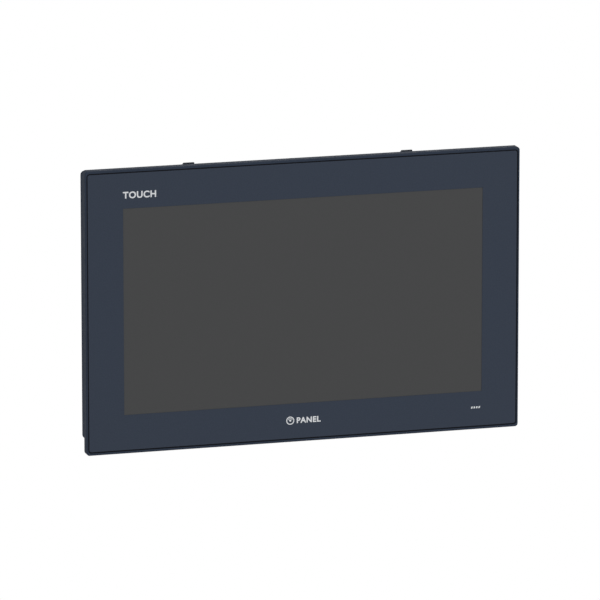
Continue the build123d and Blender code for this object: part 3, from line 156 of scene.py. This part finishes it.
class Shader:
    """A Principled material with object-space texture helpers; colours are linear."""

    def __init__(self, name, colour, roughness, metallic=0.0, specular=0.5):
        self.material = bpy.data.materials.new(name)
        self.material.use_nodes = True
        self.material.diffuse_color = (*colour, 1.0)
        self.tree = self.material.node_tree
        self.surface = self.tree.nodes["Principled BSDF"]
        self.surface.inputs["Base Color"].default_value = (*colour, 1.0)
        self.surface.inputs["Roughness"].default_value = roughness
        self.surface.inputs["Metallic"].default_value = metallic
        self.surface.inputs["Specular IOR Level"].default_value = specular
        self.colour = colour
        self.roughness = roughness
        self.coords = self.node("ShaderNodeTexCoord").outputs["Object"]

    def node(self, kind):
        return self.tree.nodes.new(kind)

    def link(self, output, target):
        self.tree.links.new(output, target)

    def stretched(self, scale):
        """Object coordinates stretched along each axis."""
        mapping = self.node("ShaderNodeMapping")
        mapping.inputs["Scale"].default_value = scale
        self.link(self.coords, mapping.inputs["Vector"])
        return mapping.outputs["Vector"]

    def noise(self, size, detail=2.0, stretch=(1.0, 1.0, 1.0)):
        """Cloudy value with blobs of about size metres."""
        texture = self.node("ShaderNodeTexNoise")
        texture.inputs["Scale"].default_value = 1.0 / size
        texture.inputs["Detail"].default_value = detail
        self.link(self.stretched(stretch), texture.inputs["Vector"])
        return texture.outputs["Fac"]

    def cells(self, size, feature="F1"):
        """Grainy value with cells of about size metres."""
        texture = self.node("ShaderNodeTexVoronoi")
        texture.feature = feature
        texture.inputs["Scale"].default_value = 1.0 / size
        self.link(self.coords, texture.inputs["Vector"])
        return texture.outputs["Distance"]

    def spread(self, value, low=0.0, high=1.0, start=0.35, end=0.65):
        """Value from start to end becomes low to high, clamped outside."""
        remap = self.node("ShaderNodeMapRange")
        remap.inputs["From Min"].default_value = start
        remap.inputs["From Max"].default_value = end
        remap.inputs["To Min"].default_value = low
        remap.inputs["To Max"].default_value = high
        self.link(value, remap.inputs["Value"])
        return remap.outputs["Result"]

    def blend_colours(self, factor, first, second):
        """first where factor is 0, second where it is 1; each a colour or an output."""
        mix = self.node("ShaderNodeMix")
        mix.data_type = "RGBA"
        colour_inputs = [socket for socket in mix.inputs if socket.type == "RGBA"]
        colour_output = [socket for socket in mix.outputs if socket.type == "RGBA"][0]
        for socket, colour in zip(colour_inputs, (first, second)):
            if isinstance(colour, tuple):
                socket.default_value = (*colour, 1.0)
            else:
                self.link(colour, socket)
        self.link(factor, mix.inputs[0])
        return colour_output

    def blend_surfaces(self, factor, first, second):
        mix = self.node("ShaderNodeMixShader")
        self.link(factor, mix.inputs["Fac"])
        self.link(first, mix.inputs[1])
        self.link(second, mix.inputs[2])
        return mix.outputs["Shader"]

    def mottle(self, factor, low, high):
        """Base colour varies between a darker and a lighter shade."""
        dark = tuple(channel * low for channel in self.colour)
        light = tuple(channel * high for channel in self.colour)
        self.link(self.blend_colours(factor, dark, light), self.surface.inputs["Base Color"])

    def vary_roughness(self, value, spread):
        """Roughness varies by spread either way."""
        result = self.spread(value, self.roughness - spread, self.roughness + spread)
        self.link(result, self.surface.inputs["Roughness"])

    def bump(self, height, depth, strength, before=None):
        """Surface relief of depth metres; before is an earlier bump's normal."""
        node = self.node("ShaderNodeBump")
        node.inputs["Distance"].default_value = depth
        node.inputs["Strength"].default_value = strength
        self.link(height, node.inputs["Height"])
        if before:
            self.link(before, node.inputs["Normal"])
        self.link(node.outputs["Normal"], self.surface.inputs["Normal"])
        return node.outputs["Normal"]


# ------------------------------------------------------------ materials

def paint_material(name, colour, grain, depth, roughness):
    """Powder-coat paint: cellular orange peel, faint cloudiness and uneven gloss."""
    shader = Shader(name, colour, roughness, specular=0.08)
    shader.mottle(shader.spread(shader.noise(30 * MM, detail=3.0)), low=0.95, high=1.05)
    shader.vary_roughness(shader.noise(4 * MM), 0.05)
    peel = shader.bump(shader.cells(grain, "SMOOTH_F1"), depth, strength=0.6)
    shader.bump(shader.noise(grain * 0.3), depth * 0.4, strength=0.4, before=peel)
    return shader.material


def film_material():
    """Printed border film: velvety embossed grain with a trace of ink mottling."""
    shader = Shader("printed_film", (0.0472, 0.0600, 0.0868), 0.55, specular=0.12)
    shader.mottle(shader.spread(shader.noise(1.2 * MM, detail=4.0)), low=0.95, high=1.05)
    shader.vary_roughness(shader.noise(9 * MM), 0.04)
    shader.bump(shader.cells(0.35 * MM), 0.02 * MM, strength=0.5)
    return shader.material


def screen_material():
    """Anti-glare film over the switched-off display: neutral grey with a fine sparkle."""
    shader = Shader("anti_glare_screen", (0.0820, 0.0820, 0.0822), 0.45, specular=0.12)
    shader.mottle(shader.spread(shader.noise(0.4 * MM, detail=2.0)), low=0.97, high=1.03)
    shader.vary_roughness(shader.noise(40 * MM), 0.03)
    shader.bump(shader.noise(0.18 * MM, detail=3.0), 0.006 * MM, strength=0.6)
    return shader.material


def moulded_material(name, colour, roughness, grain=0.5 * MM, depth=0.02 * MM):
    """Spark-textured moulded plastic."""
    shader = Shader(name, colour, roughness, specular=0.4)
    shader.mottle(shader.spread(shader.noise(6 * MM, detail=3.0)), low=0.9, high=1.1)
    shader.vary_roughness(shader.noise(2 * MM), 0.06)
    shader.bump(shader.noise(grain, detail=4.0), depth, strength=0.6)
    return shader.material


def rubber_material(name, colour):
    """Closed-cell foam rubber: pores and a dusty sheen."""
    shader = Shader(name, colour, 0.82, specular=0.25)
    shader.mottle(shader.spread(shader.noise(3 * MM, detail=4.0)), low=0.75, high=1.35)
    pores = shader.bump(shader.cells(0.45 * MM), 0.08 * MM, strength=0.7)
    shader.bump(shader.noise(1.5 * MM, detail=3.0), 0.05 * MM, strength=0.5, before=pores)
    return shader.material


def brushed_material(name, colour, roughness, stretch):
    """Rolled or brushed metal with a directional grain."""
    shader = Shader(name, colour, roughness, metallic=1.0)
    lines = shader.noise(0.5 * MM, 3.0, stretch)
    shader.mottle(shader.spread(lines), low=0.86, high=1.1)
    shader.vary_roughness(shader.noise(2.5 * MM, stretch=stretch), 0.08)
    shader.bump(lines, 0.01 * MM, strength=0.7)
    return shader.material


def plated_material(name, colour, roughness):
    """Bright plated steel: cloudy tarnish and fine tool marks."""
    shader = Shader(name, colour, roughness, metallic=1.0)
    shader.mottle(shader.spread(shader.noise(1.6 * MM, detail=4.0)), low=0.8, high=1.08)
    shader.vary_roughness(shader.noise(0.7 * MM, detail=3.0), 0.1)
    shader.bump(shader.noise(0.25 * MM, detail=2.0), 0.008 * MM, strength=0.5)
    return shader.material


def anodised_material():
    """Black anodised extrusion with drawing lines along the fins."""
    shader = Shader("black_anodised", (0.016, 0.016, 0.018), 0.42, metallic=0.6, specular=0.5)
    lines = shader.noise(0.35 * MM, 3.0, (1.0, 1.0, 0.03))
    shader.mottle(shader.spread(lines), low=0.75, high=1.4)
    shader.vary_roughness(shader.noise(5 * MM), 0.08)
    shader.bump(lines, 0.02 * MM, strength=0.8)
    return shader.material


def board_material(name, mask, copper):
    """Circuit board: solder mask over a pattern of tracks, drawn in millimetres."""
    shader = Shader(name, mask, 0.34, specular=0.5)
    tracks = shader.node("ShaderNodeTexBrick")
    tracks.offset = 0.5
    tracks.inputs["Scale"].default_value = 1.0
    tracks.inputs["Brick Width"].default_value = 6.0
    tracks.inputs["Row Height"].default_value = 1.1
    tracks.inputs["Mortar Size"].default_value = 0.16
    turned = shader.node("ShaderNodeMapping")
    turned.inputs["Rotation"].default_value = (math.radians(90), 0, 0)
    turned.inputs["Scale"].default_value = (1 / MM, 1 / MM, 1 / MM)
    shader.link(shader.coords, turned.inputs["Vector"])
    shader.link(turned.outputs["Vector"], tracks.inputs["Vector"])
    blotch = shader.spread(shader.noise(7 * MM, detail=1.0), start=0.48, end=0.52)
    tracked = shader.blend_colours(tracks.outputs["Fac"], mask, copper)
    shader.link(shader.blend_colours(blotch, mask, tracked), shader.surface.inputs["Base Color"])
    shader.bump(tracks.outputs["Fac"], 0.03 * MM, strength=0.6)
    return shader.material


def clear_material(name, colour, roughness):
    """Glass or acrylic with faint waviness."""
    shader = Shader(name, colour, roughness)
    shader.surface.inputs["Transmission Weight"].default_value = 0.9
    shader.mottle(shader.noise(20 * MM), low=0.96, high=1.0)
    shader.bump(shader.noise(60 * MM), 0.02 * MM, strength=0.2)
    return shader.material


def flex_material(name, colour):
    """Flat lead: parallel conductors under an amber film."""
    shader = Shader(name, colour, 0.32)
    lines = shader.noise(0.5 * MM, 1.0, (1.0, 0.02, 0.02))
    shader.mottle(shader.spread(lines), low=0.6, high=1.3)
    shader.bump(lines, 0.03 * MM, strength=0.5)
    return shader.material


def ink_material(name, colour):
    """Screen-printed ink with slightly uneven cover."""
    shader = Shader(name, colour, 0.55, specular=0.25)
    shader.mottle(shader.spread(shader.noise(0.3 * MM, detail=3.0)), low=0.94, high=1.0)
    shader.bump(shader.noise(0.12 * MM), 0.004 * MM, strength=0.5)
    return shader.material


SLATE = (0.036, 0.048, 0.074)
ALONG_X = (0.04, 1.0, 1.0)
ALONG_Z = (1.0, 1.0, 0.04)


def build_materials():
    """One material for each of the record's material slots."""
    return {
        "painted_bezel": paint_material("bezel_paint", SLATE, 0.7 * MM, 0.03 * MM, 0.5),
        "painted_housing": paint_material("powder_coat", SLATE, 1.1 * MM, 0.06 * MM, 0.55),
        "painted_plastic": moulded_material("door_plastic", SLATE, 0.5),
        "printed_film": film_material(),
        "matt_screen_film": screen_material(),
        "clear_glass": clear_material("clear_glass", (0.80, 0.90, 0.88), 0.03),
        "display_glass": moulded_material(
            "display_glass", (0.02, 0.02, 0.022), 0.15, grain=2 * MM, depth=0.002 * MM
        ),
        "clear_acrylic": clear_material("clear_acrylic", (0.88, 0.92, 0.93), 0.05),
        "diffuser_film": moulded_material("diffuser_film", (0.78, 0.79, 0.79), 0.6),
        "black_foam": rubber_material("foam_rubber", (0.016, 0.016, 0.017)),
        "amber_flex": flex_material("amber_flex", (0.50, 0.24, 0.06)),
        "green_board": board_material("green_board", (0.012, 0.11, 0.045), (0.04, 0.21, 0.09)),
        "white_board": moulded_material("white_board", (0.78, 0.78, 0.76), 0.4),
        "bare_sheet": brushed_material("stainless_sheet", (0.58, 0.59, 0.60), 0.35, ALONG_Z),
        "zinc_steel": plated_material("zinc_screws", (0.62, 0.63, 0.65), 0.28),
        "zinc_plate": brushed_material("zinc_sheet", (0.50, 0.51, 0.53), 0.42, ALONG_X),
        "black_steel": plated_material("black_screws", (0.05, 0.05, 0.055), 0.35),
        "spring_steel": plated_material("spring_wire", (0.36, 0.36, 0.37), 0.3),
        "brass": plated_material("brass", (0.60, 0.42, 0.17), 0.28),
        "chip_metal": moulded_material("chip_laminate", (0.03, 0.09, 0.05), 0.3),
        "grey_pad": rubber_material("thermal_pad", (0.33, 0.34, 0.36)),
        "black_aluminium": anodised_material(),
        "black_plastic": moulded_material("black_plastic", (0.014, 0.014, 0.015), 0.5),
        "rocker_plastic": moulded_material("rocker_plastic", (0.018, 0.018, 0.02), 0.32, grain=0.8 * MM),
        "catch_plastic": moulded_material("catch_plastic", (0.020, 0.026, 0.038), 0.45),
        "green_plastic": moulded_material("terminal_plastic", (0.02, 0.20, 0.065), 0.42),
        "port_shell": plated_material("nickel_shell", (0.64, 0.63, 0.62), 0.24),
        "coin_steel": plated_material("coin_cell", (0.66, 0.66, 0.66), 0.2),
        "label_film": brushed_material("label_film", (0.52, 0.53, 0.54), 0.45, ALONG_X),
    }


def dress_nodes(materials):
    """Gives every CAD node the material of its record slot."""
    slots = {entry["node"]: entry["material_slot"] for entry in frame["record"]["subparts"]}
    for name, node in frame["nodes"].items():
        node.data.materials.clear()
        node.data.materials.append(materials[slots[name]])


def paint_faces(node_name, material, wanted):
    """Second material on the faces of a CAD node whose centre passes a test."""
    mesh = frame["nodes"][node_name].data
    mesh.materials.append(material)
    index = len(mesh.materials) - 1
    for face in mesh.polygons:
        if wanted(face.center):
            face.material_index = index


# ------------------------------------------------------------ mesh building blocks

ARC_POINTS = 8
DISC_STEPS = 32
RING_STEPS = 40


def add_piece(name, vertices, faces, material, body=ROOT, smooth=False):
    """Closed mesh, with its faces turned outwards, that moves with a body."""
    mesh = bpy.data.meshes.new(name)
    mesh.from_pydata([tuple(vertex) for vertex in vertices], [], faces)
    mesh.validate()
    work = bmesh.new()
    work.from_mesh(mesh)
    bmesh.ops.recalc_face_normals(work, faces=work.faces)
    work.to_mesh(mesh)
    work.free()
    for face in mesh.polygons:
        face.use_smooth = smooth
    mesh.materials.append(material)
    piece = bpy.data.objects.new(name, mesh)
    bpy.context.scene.collection.objects.link(piece)
    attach(piece, body)
    return piece


def rounded_path(half_width, half_height, radius):
    """Points (x, z) and outward normals round a rectangle with rounded corners."""
    path = []
    corners = [(1, 1, 0), (-1, 1, 90), (-1, -1, 180), (1, -1, 270)]
    for sign_x, sign_z, start in corners:
        centre_x = sign_x * (half_width - radius)
        centre_z = sign_z * (half_height - radius)
        for step in range(ARC_POINTS + 1):
            angle = math.radians(start + 90 * step / ARC_POINTS)
            normal = (math.cos(angle), math.sin(angle))
            path.append((centre_x + radius * normal[0], centre_z + radius * normal[1], *normal))
    return path


def ring_piece(name, half_width, half_height, radius, profile, material):
    """Closed ring: profile points (outward offset, y) carried round a rounded rectangle."""
    path = rounded_path(half_width, half_height, radius)
    vertices = []
    for x, z, normal_x, normal_z in path:
        for offset, y in profile:
            vertices.append((x + normal_x * offset, y, z + normal_z * offset))
    count = len(profile)
    faces = []
    for i in range(len(path)):
        ahead = (i + 1) % len(path)
        for j in range(count):
            k = (j + 1) % count
            faces.append((i * count + j, ahead * count + j, ahead * count + k, i * count + k))
    add_piece(name, vertices, faces, material, smooth=True)


class Shapes:
    """Collects small closed shapes into one piece; place turns (u, v, depth) into a point."""

    def __init__(self, place):
        self.place = place
        self.vertices = []
        self.faces = []

    def add(self, points, faces):
        start = len(self.vertices)
        self.vertices += [self.place(*point) for point in points]
        self.faces += [tuple(start + index for index in face) for face in faces]

    def prism(self, outline, low, high):
        """Convex (u, v) outline, solid between two depths."""
        count = len(outline)
        points = [(u, v, depth) for depth in (low, high) for u, v in outline]
        sides = [(i, (i + 1) % count, count + (i + 1) % count, count + i) for i in range(count)]
        self.add(points, sides + [tuple(range(count)), tuple(range(count, 2 * count))])

    def bar(self, u, v, low, high):
        self.prism([(u[0], v[0]), (u[1], v[0]), (u[1], v[1]), (u[0], v[1])], low, high)

    def disc(self, u, v, radius, low, high):
        angles = [2 * math.pi * step / DISC_STEPS for step in range(DISC_STEPS)]
        outline = [(u + radius * math.cos(angle), v + radius * math.sin(angle)) for angle in angles]
        self.prism(outline, low, high)

    def arc(self, u, v, inner, outer, low, high, start=0.0, sweep=360.0):
        """Ring, or part of one, of rectangular section; angles in degrees from +u."""
        steps = RING_STEPS
        angles = [math.radians(start + sweep * step / steps) for step in range(steps + 1)]
        points = []
        for angle in angles:
            for radius, depth in ((inner, low), (outer, low), (outer, high), (inner, high)):
                points.append((u + radius * math.cos(angle), v + radius * math.sin(angle), depth))
        faces = []
        closed = sweep >= 360.0
        for step in range(steps):
            here = 4 * step
            ahead = 0 if closed and step == steps - 1 else here + 4
            for side in range(4):
                other = (side + 1) % 4
                faces.append((here + side, ahead + side, ahead + other, here + other))
        if closed:
            points = points[:-4]
        else:
            faces += [(0, 1, 2, 3), (4 * steps, 4 * steps + 1, 4 * steps + 2, 4 * steps + 3)]
        self.add(points, faces)

    def piece(self, name, material, slot, body=ROOT):
        add_piece(name, self.vertices, self.faces, material, body=body)


PRINT_LIFT = 0.015 * MM
LETTER_DEPTH = 0.012 * MM
LETTER_WEIGHT = 0.24 * MM
LETTER_CURVE_STEPS = 6
CAP_HEIGHT_SHARE = 0.70


def text_piece(name, text, left, baseline, height, spacing, material):
    """Printed capitals of the given height on the front, facing the operator."""
    data = bpy.data.curves.new(name, "FONT")
    data.body = text
    data.size = height / CAP_HEIGHT_SHARE
    data.space_character = spacing
    data.extrude = LETTER_DEPTH
    data.offset = LETTER_WEIGHT
    data.resolution_u = LETTER_CURVE_STEPS
    holder = bpy.data.objects.new(name + "_text", data)
    bpy.context.scene.collection.objects.link(holder)
    bpy.context.view_layer.update()
    mesh = bpy.data.meshes.new_from_object(holder)
    bpy.data.objects.remove(holder)
    upright = Matrix.Rotation(math.radians(90), 4, "X")
    place = Matrix.Translation((left, FILM_FACE - PRINT_LIFT, baseline))
    mesh.transform(place @ upright)
    mesh.materials.clear()
    mesh.materials.append(material)
    mesh.name = name
    piece = bpy.data.objects.new(name, mesh)
    bpy.context.scene.collection.objects.link(piece)
    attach(piece, ROOT)


# ------------------------------------------------------------ stage

FLOOR_Z = -4.5
FLOOR_HALF = 45.0
SQUARE = ((-1, -1), (1, -1), (1, 1), (-1, 1))


def make_floor():
    """Pale studio floor far below the hanging panel: plain white to the camera, softer as light."""
    shader = Shader("studio_floor", (0.80, 0.80, 0.80), 0.9, specular=0.1)
    shader.mottle(shader.noise(0.5), low=0.995, high=1.0)
    seen = shader.node("ShaderNodeLightPath").outputs["Is Camera Ray"]
    white = shader.node("ShaderNodeEmission").outputs["Emission"]
    surface = shader.blend_surfaces(seen, shader.surface.outputs["BSDF"], white)
    shader.link(surface, shader.tree.nodes["Material Output"].inputs["Surface"])
    corners = [(x * FLOOR_HALF, y * FLOOR_HALF, FLOOR_Z) for x, y in SQUARE]
    mesh = bpy.data.meshes.new("floor")
    mesh.from_pydata(corners, [], [(0, 1, 2, 3)])
    mesh.materials.append(shader.material)
    floor = bpy.data.objects.new("floor", mesh)
    bpy.context.scene.collection.objects.link(floor)


# ------------------------------------------------------------ front details

INK_LOW = 0.003 * MM
INK_HIGH = 0.03 * MM
THIN_INK = 0.01 * MM

# Name, letters, left end, baseline, height and letter spacing of each printed word.
WORDS = (
    ("mark_word_touch", "TOUCH", -173.8 * MM, 107.5 * MM, 6.0 * MM, 1.08),
    ("mark_word_panel", "PANEL", -7.6 * MM, -116.5 * MM, 5.2 * MM, 1.1),
)
SYMBOL_CENTRE = (-13.6 * MM, -113.9 * MM)


def make_seal_painting_groove_shade():
    """Dark sealing bead in the groove between the film and the bezel's rim; its near-black colour is
    also painted shade that darkens the groove line.
    """
    groove_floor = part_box("touch_film")[1].y
    width = 1.2 * MM
    gap = 0.02 * MM
    edge = 0.32 * MM
    slope = 0.22 * MM
    hollow = 0.18 * MM
    section = (
        (gap, gap),
        (width - gap, gap),
        (width - gap, edge),
        (width * 0.75, slope),
        (width * 0.5, hollow),
        (width * 0.25, slope),
        (gap, edge),
    )
    profile = [(offset, groove_floor - height) for offset, height in section]
    film_corner = 2.0 * MM
    # Near-black rubber: a seal's own colour, and also painted shade for the dark line of the groove.
    material = rubber_material("seal_rubber_painted_groove_shade", (0.004, 0.005, 0.008))
    ring_piece("film_seal_painting_groove_shade", FILM_HIGH.x, FILM_HIGH.z, film_corner, profile, material)


def on_film(u, v, depth):
    """u to the right, v up, depth out of the film's face."""
    return (u, FILM_FACE - depth, v)


def make_front_marks(ink):
    """Generic print: plain words and a touch symbol, and a row of bars at the lower right."""
    for word in WORDS:
        text_piece(*word, ink)
    ring = (3.0 * MM, 3.9 * MM)
    wave = (1.7 * MM, 2.3 * MM)
    dot = 1.0 * MM
    symbol = Shapes(on_film)
    symbol.arc(*SYMBOL_CENTRE, *ring, INK_LOW, INK_HIGH)
    symbol.arc(*SYMBOL_CENTRE, *wave, INK_LOW, INK_HIGH, start=20.0, sweep=140.0)
    symbol.disc(*SYMBOL_CENTRE, dot, INK_LOW, INK_HIGH)
    symbol.piece("mark_symbol", ink, "printed_film")
    first = 163.4 * MM
    pitch = 2.4 * MM
    width = 1.4 * MM
    lean = 0.5 * MM
    low = -114.3 * MM
    high = low + 1.9 * MM
    bars = Shapes(on_film)
    for index in range(4):
        left = first + pitch * index
        right = left + width
        outline = [(left, low), (right, low), (right + lean, high), (left + lean, high)]
        bars.prism(outline, INK_LOW, INK_HIGH)
    bars.piece("mark_bars", ink, "printed_film")


# ------------------------------------------------------------ connector details

PORT_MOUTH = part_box("lan_ports")[0].z
BOARD_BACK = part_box("lan_ports")[0].y
LAN_CENTRES = (-66.0 * MM, -46.0 * MM)
USB_CENTRES = (-27.0 * MM, -9.0 * MM)
DISPLAY_CENTRES = (11.0 * MM,)
COM_CENTRES = (42.0 * MM, 80.0 * MM)
GOLD = (0.75, 0.52, 0.18)

# Name, side of the socket and colour of each signal lamp.
LAMPS = (
    ("green", -1, (0.05, 0.55, 0.12)),
    ("amber", 1, (0.80, 0.40, 0.04)),
)


def as_built(x, y, z):
    return (x, y, z)


def above_mouth(low, high):
    """Span along Z measured inwards from the mouths of the ports."""
    return (PORT_MOUTH + low, PORT_MOUTH + high)


def make_lan_details():
    """Eight gold contact springs, a liner and two signal lamps in each network socket."""
    gold = plated_material("gold_contacts", GOLD, 0.22)
    plastic = moulded_material("socket_liner", (0.015, 0.015, 0.016), 0.4)
    springs = 8
    pitch = 1.02 * MM
    half_spring = 0.24 * MM
    half_liner = 5.85 * MM
    well_front = BOARD_BACK + 1.25 * MM
    spring_back = BOARD_BACK + 1.6 * MM
    hook_back = BOARD_BACK + 3.4 * MM
    liner_back = BOARD_BACK + 7.95 * MM
    contacts = Shapes(as_built)
    liners = Shapes(as_built)
    for centre in LAN_CENTRES:
        for index in range(springs):
            x = centre + (index - (springs - 1) / 2) * pitch
            span = (x - half_spring, x + half_spring)
            contacts.bar(span, (well_front, spring_back), *above_mouth(2.4 * MM, 12.0 * MM))
            contacts.bar(span, (spring_back, hook_back), *above_mouth(8.0 * MM, 8.35 * MM))
        span = (centre - half_liner, centre + half_liner)
        liners.bar(span, (well_front, liner_back), *above_mouth(12.2 * MM, 12.95 * MM))
    contacts.piece("lan_contacts", gold, "brass")
    liners.piece("lan_liners", plastic, "black_plastic")
    lamp_offset = 5.7 * MM
    half_lamp = 1.6 * MM
    lamp_y = (BOARD_BACK + 8.7 * MM, BOARD_BACK + 10.5 * MM)
    for name, side, colour in LAMPS:
        lamp = moulded_material("lamp_" + name, colour, 0.2, grain=1.0 * MM, depth=0.004 * MM)
        lamps = Shapes(as_built)
        for centre in LAN_CENTRES:
            x = centre + side * lamp_offset
            lamps.bar((x - half_lamp, x + half_lamp), lamp_y, *above_mouth(-0.12 * MM, 0.3 * MM))
        lamps.piece("lan_lamps_" + name, lamp, "clear_acrylic")


def off_centre(point, centres):
    """Distance along X to the nearest of some sockets."""
    return min(abs(point.x - x) for x in centres)


def colour_port_insides():
    """Plastic tongues and insulators inside the plated shells, and gold pins."""
    blue = moulded_material("usb_tongue", (0.02, 0.10, 0.42), 0.35)
    black = moulded_material("port_insulator", (0.012, 0.012, 0.013), 0.5)
    gold = plated_material("gold_pins", GOLD, 0.22)
    half_tongue = 5.6 * MM
    usb_low, usb_high = above_mouth(2.0 * MM, 12.1 * MM)
    display_low, display_high = above_mouth(1.0 * MM, 10.1 * MM)
    com_y = BOARD_BACK + 6.25 * MM
    com_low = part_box("com_ports")[0].z
    com_floor = com_low + 5.6 * MM
    com_body = com_low + 8.2 * MM
    half_body = 9.6 * MM
    half_floor = (7.7 * MM, 3.6 * MM)
    half_pins = (6.3 * MM, 2.1 * MM)

    def in_usb_tongue(centre):
        depth = centre.y - BOARD_BACK
        inside = usb_low < centre.z < usb_high and 3.5 * MM < depth < 5.5 * MM
        return inside and off_centre(centre, USB_CENTRES) < half_tongue

    def in_display_tongue(centre):
        depth = centre.y - BOARD_BACK
        inside = display_low < centre.z < display_high and 2.1 * MM < depth < 3.3 * MM
        return inside and off_centre(centre, DISPLAY_CENTRES) < half_tongue

    def within(centre, half):
        return off_centre(centre, COM_CENTRES) < half[0] and abs(centre.y - com_y) < half[1]

    def in_com_insulator(centre):
        body = centre.z > com_body and off_centre(centre, COM_CENTRES) < half_body
        floor = abs(centre.z - com_floor) < 0.15 * MM
        return body or (floor and within(centre, half_floor))

    def is_com_pin(centre):
        tip = com_low + 0.5 * MM < centre.z < com_low + 5.55 * MM
        return tip and within(centre, half_pins)

    paint_faces("usb_ports", blue, in_usb_tongue)
    paint_faces("display_port", black, in_display_tongue)
    paint_faces("com_ports", black, in_com_insulator)
    paint_faces("com_ports", gold, is_com_pin)


def make_rocker_marks(ink):
    """On and off marks in relief on the two ends of the power rocker."""
    joints = {joint["name"]: joint for joint in frame["record"]["behaviour"]["joints"]}
    pivot = Vector(joints["power_rocker_pivot"]["pos_m"])
    tilt = math.radians(-8.0)
    middle_fall = 2.9 * MM
    end_slope = 1.0 / 7.6

    def on_paddle(u, v, depth):
        """u runs along the paddle's length, v along Y, depth out of its lower face."""
        fall = middle_fall + abs(u) * end_slope
        local = Vector((u, 0.0, -fall - depth))
        turned = Matrix.Rotation(tilt, 3, "Y") @ local
        return (pivot.x + turned.x, pivot.y + v, pivot.z + turned.z)

    root = -0.02 * MM
    relief = 0.05 * MM
    half_mark = 1.7 * MM
    marks = Shapes(on_paddle)
    marks.bar((3.6 * MM, 4.2 * MM), (-half_mark, half_mark), root, relief)
    marks.arc(-4.2 * MM, 0.0, 1.1 * MM, half_mark, root, relief)
    marks.piece("rocker_marks", ink, "rocker_plastic", body="power_rocker")


def make_ground_mark(ink):
    """Protective-earth symbol printed on the housing beside its stud."""
    low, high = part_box("ground_screw")
    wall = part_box("rear_housing")[1].y
    centre_x = low.x - 7.0 * MM
    centre_z = (low.z + high.z) / 2

    def on_housing(u, v, depth):
        return (centre_x - u, wall + depth, centre_z + v)

    line = 0.5 * MM
    stem = 2.6 * MM
    mark = Shapes(on_housing)
    mark.bar((-line / 2, line / 2), (0.0, stem), INK_LOW, INK_HIGH)
    for row in range(3):
        half = (2.2 - 0.7 * row) * MM
        top = -1.1 * MM * row
        mark.bar((-half, half), (top - line, top), INK_LOW, INK_HIGH)
    mark.piece("ground_mark", ink, "painted_housing")


def make_rating_form():
    """Blank form on the identification plate: frame, ruled lines and an empty box."""
    low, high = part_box("rating_plate")
    margin = 2.0 * MM
    centre_x = (low.x + high.x) / 2
    centre_z = (low.z + high.z) / 2
    half_u = (high.x - low.x) / 2 - margin
    half_v = (high.z - low.z) / 2 - margin

    def on_plate(u, v, depth):
        return (centre_x - u, high.y + depth, centre_z + v)

    line = 0.35 * MM
    form = Shapes(on_plate)

    def rule(u, v):
        form.bar(sorted(u), sorted(v), INK_LOW, THIN_INK)

    for side in (-1, 1):
        rule((-half_u, half_u), (side * half_v, side * (half_v - line)))
        rule((side * half_u, side * (half_u - line)), (-half_v + line, half_v - line))
    rows = 5
    rows_end = half_u * 0.35
    for row in range(1, rows):
        v = -half_v + 2 * half_v * row / rows
        rule((-half_u + margin, rows_end), (v, v + line))
    box_gap = 3.0 * MM
    box_side = 11.0 * MM
    right = half_u - box_gap
    left = right - box_side
    top = half_v - box_gap
    bottom = top - box_side
    for v in (top, bottom):
        rule((left, right), (v - line, v))
    for u in (left, right - line):
        rule((u, u + line), (bottom, top - line))
    dark = ink_material("form_ink", (0.03, 0.03, 0.035))
    form.piece("rating_form", dark, "label_film")


# ------------------------------------------------------------ catch springs

WIRE_RADIUS = 0.35 * MM
WIRE_SIDES = 10
COIL_TURNS = 6.0
COIL_STEPS_PER_TURN = 28
CLOSED_PITCH = 2.1 * WIRE_RADIUS


def coil_height(turn, rise):
    """Height of the wire's centre: closed end turns with an even pitch between them."""
    if turn < 1.0:
        return turn * CLOSED_PITCH
    if turn > COIL_TURNS - 1.0:
        return rise - (COIL_TURNS - turn) * CLOSED_PITCH
    return CLOSED_PITCH + (turn - 1.0) * (rise - 2 * CLOSED_PITCH) / (COIL_TURNS - 2.0)


def make_catch_coils(steel):
    """Coil springs under the catches, drawn in place of the CAD spring parts, which are hidden."""
    sides = WIRE_SIDES
    for hand in ("left", "right"):
        low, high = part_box("catch_spring_" + hand)
        centre = (low + high) / 2
        radius = (high.x - low.x) / 2 - WIRE_RADIUS
        rise = high.z - low.z - 2 * WIRE_RADIUS
        vertices = []
        rings = int(COIL_TURNS * COIL_STEPS_PER_TURN) + 1
        for step in range(rings):
            turn = step / COIL_STEPS_PER_TURN
            angle = 2 * math.pi * turn
            z = low.z + WIRE_RADIUS + coil_height(turn, rise)
            for side in range(sides):
                round_wire = 2 * math.pi * side / sides
                reach = radius + WIRE_RADIUS * math.cos(round_wire)
                x = centre.x + reach * math.cos(angle)
                y = centre.y + reach * math.sin(angle)
                vertices.append((x, y, z + WIRE_RADIUS * math.sin(round_wire)))
        faces = [tuple(range(sides)), tuple(range((rings - 1) * sides, rings * sides))]
        for ring in range(rings - 1):
            for side in range(sides):
                here = ring * sides + side
                beside = ring * sides + (side + 1) % sides
                faces.append((here, beside, beside + sides, here + sides))
        coil = add_piece("catch_coil_" + hand, vertices, faces, steel, smooth=True)
        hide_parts("catch_spring_" + hand)
        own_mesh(coil)


# ------------------------------------------------------------ the scene

make_camera()
make_lights()
slot_materials = build_materials()
dress_nodes(slot_materials)
make_floor()
white_ink = ink_material("white_ink", (0.93, 0.94, 0.95))
make_seal_painting_groove_shade()
make_front_marks(white_ink)
make_lan_details()
colour_port_insides()
make_rocker_marks(white_ink)
make_ground_mark(white_ink)
make_rating_form()
make_catch_coils(slot_materials["spring_steel"])
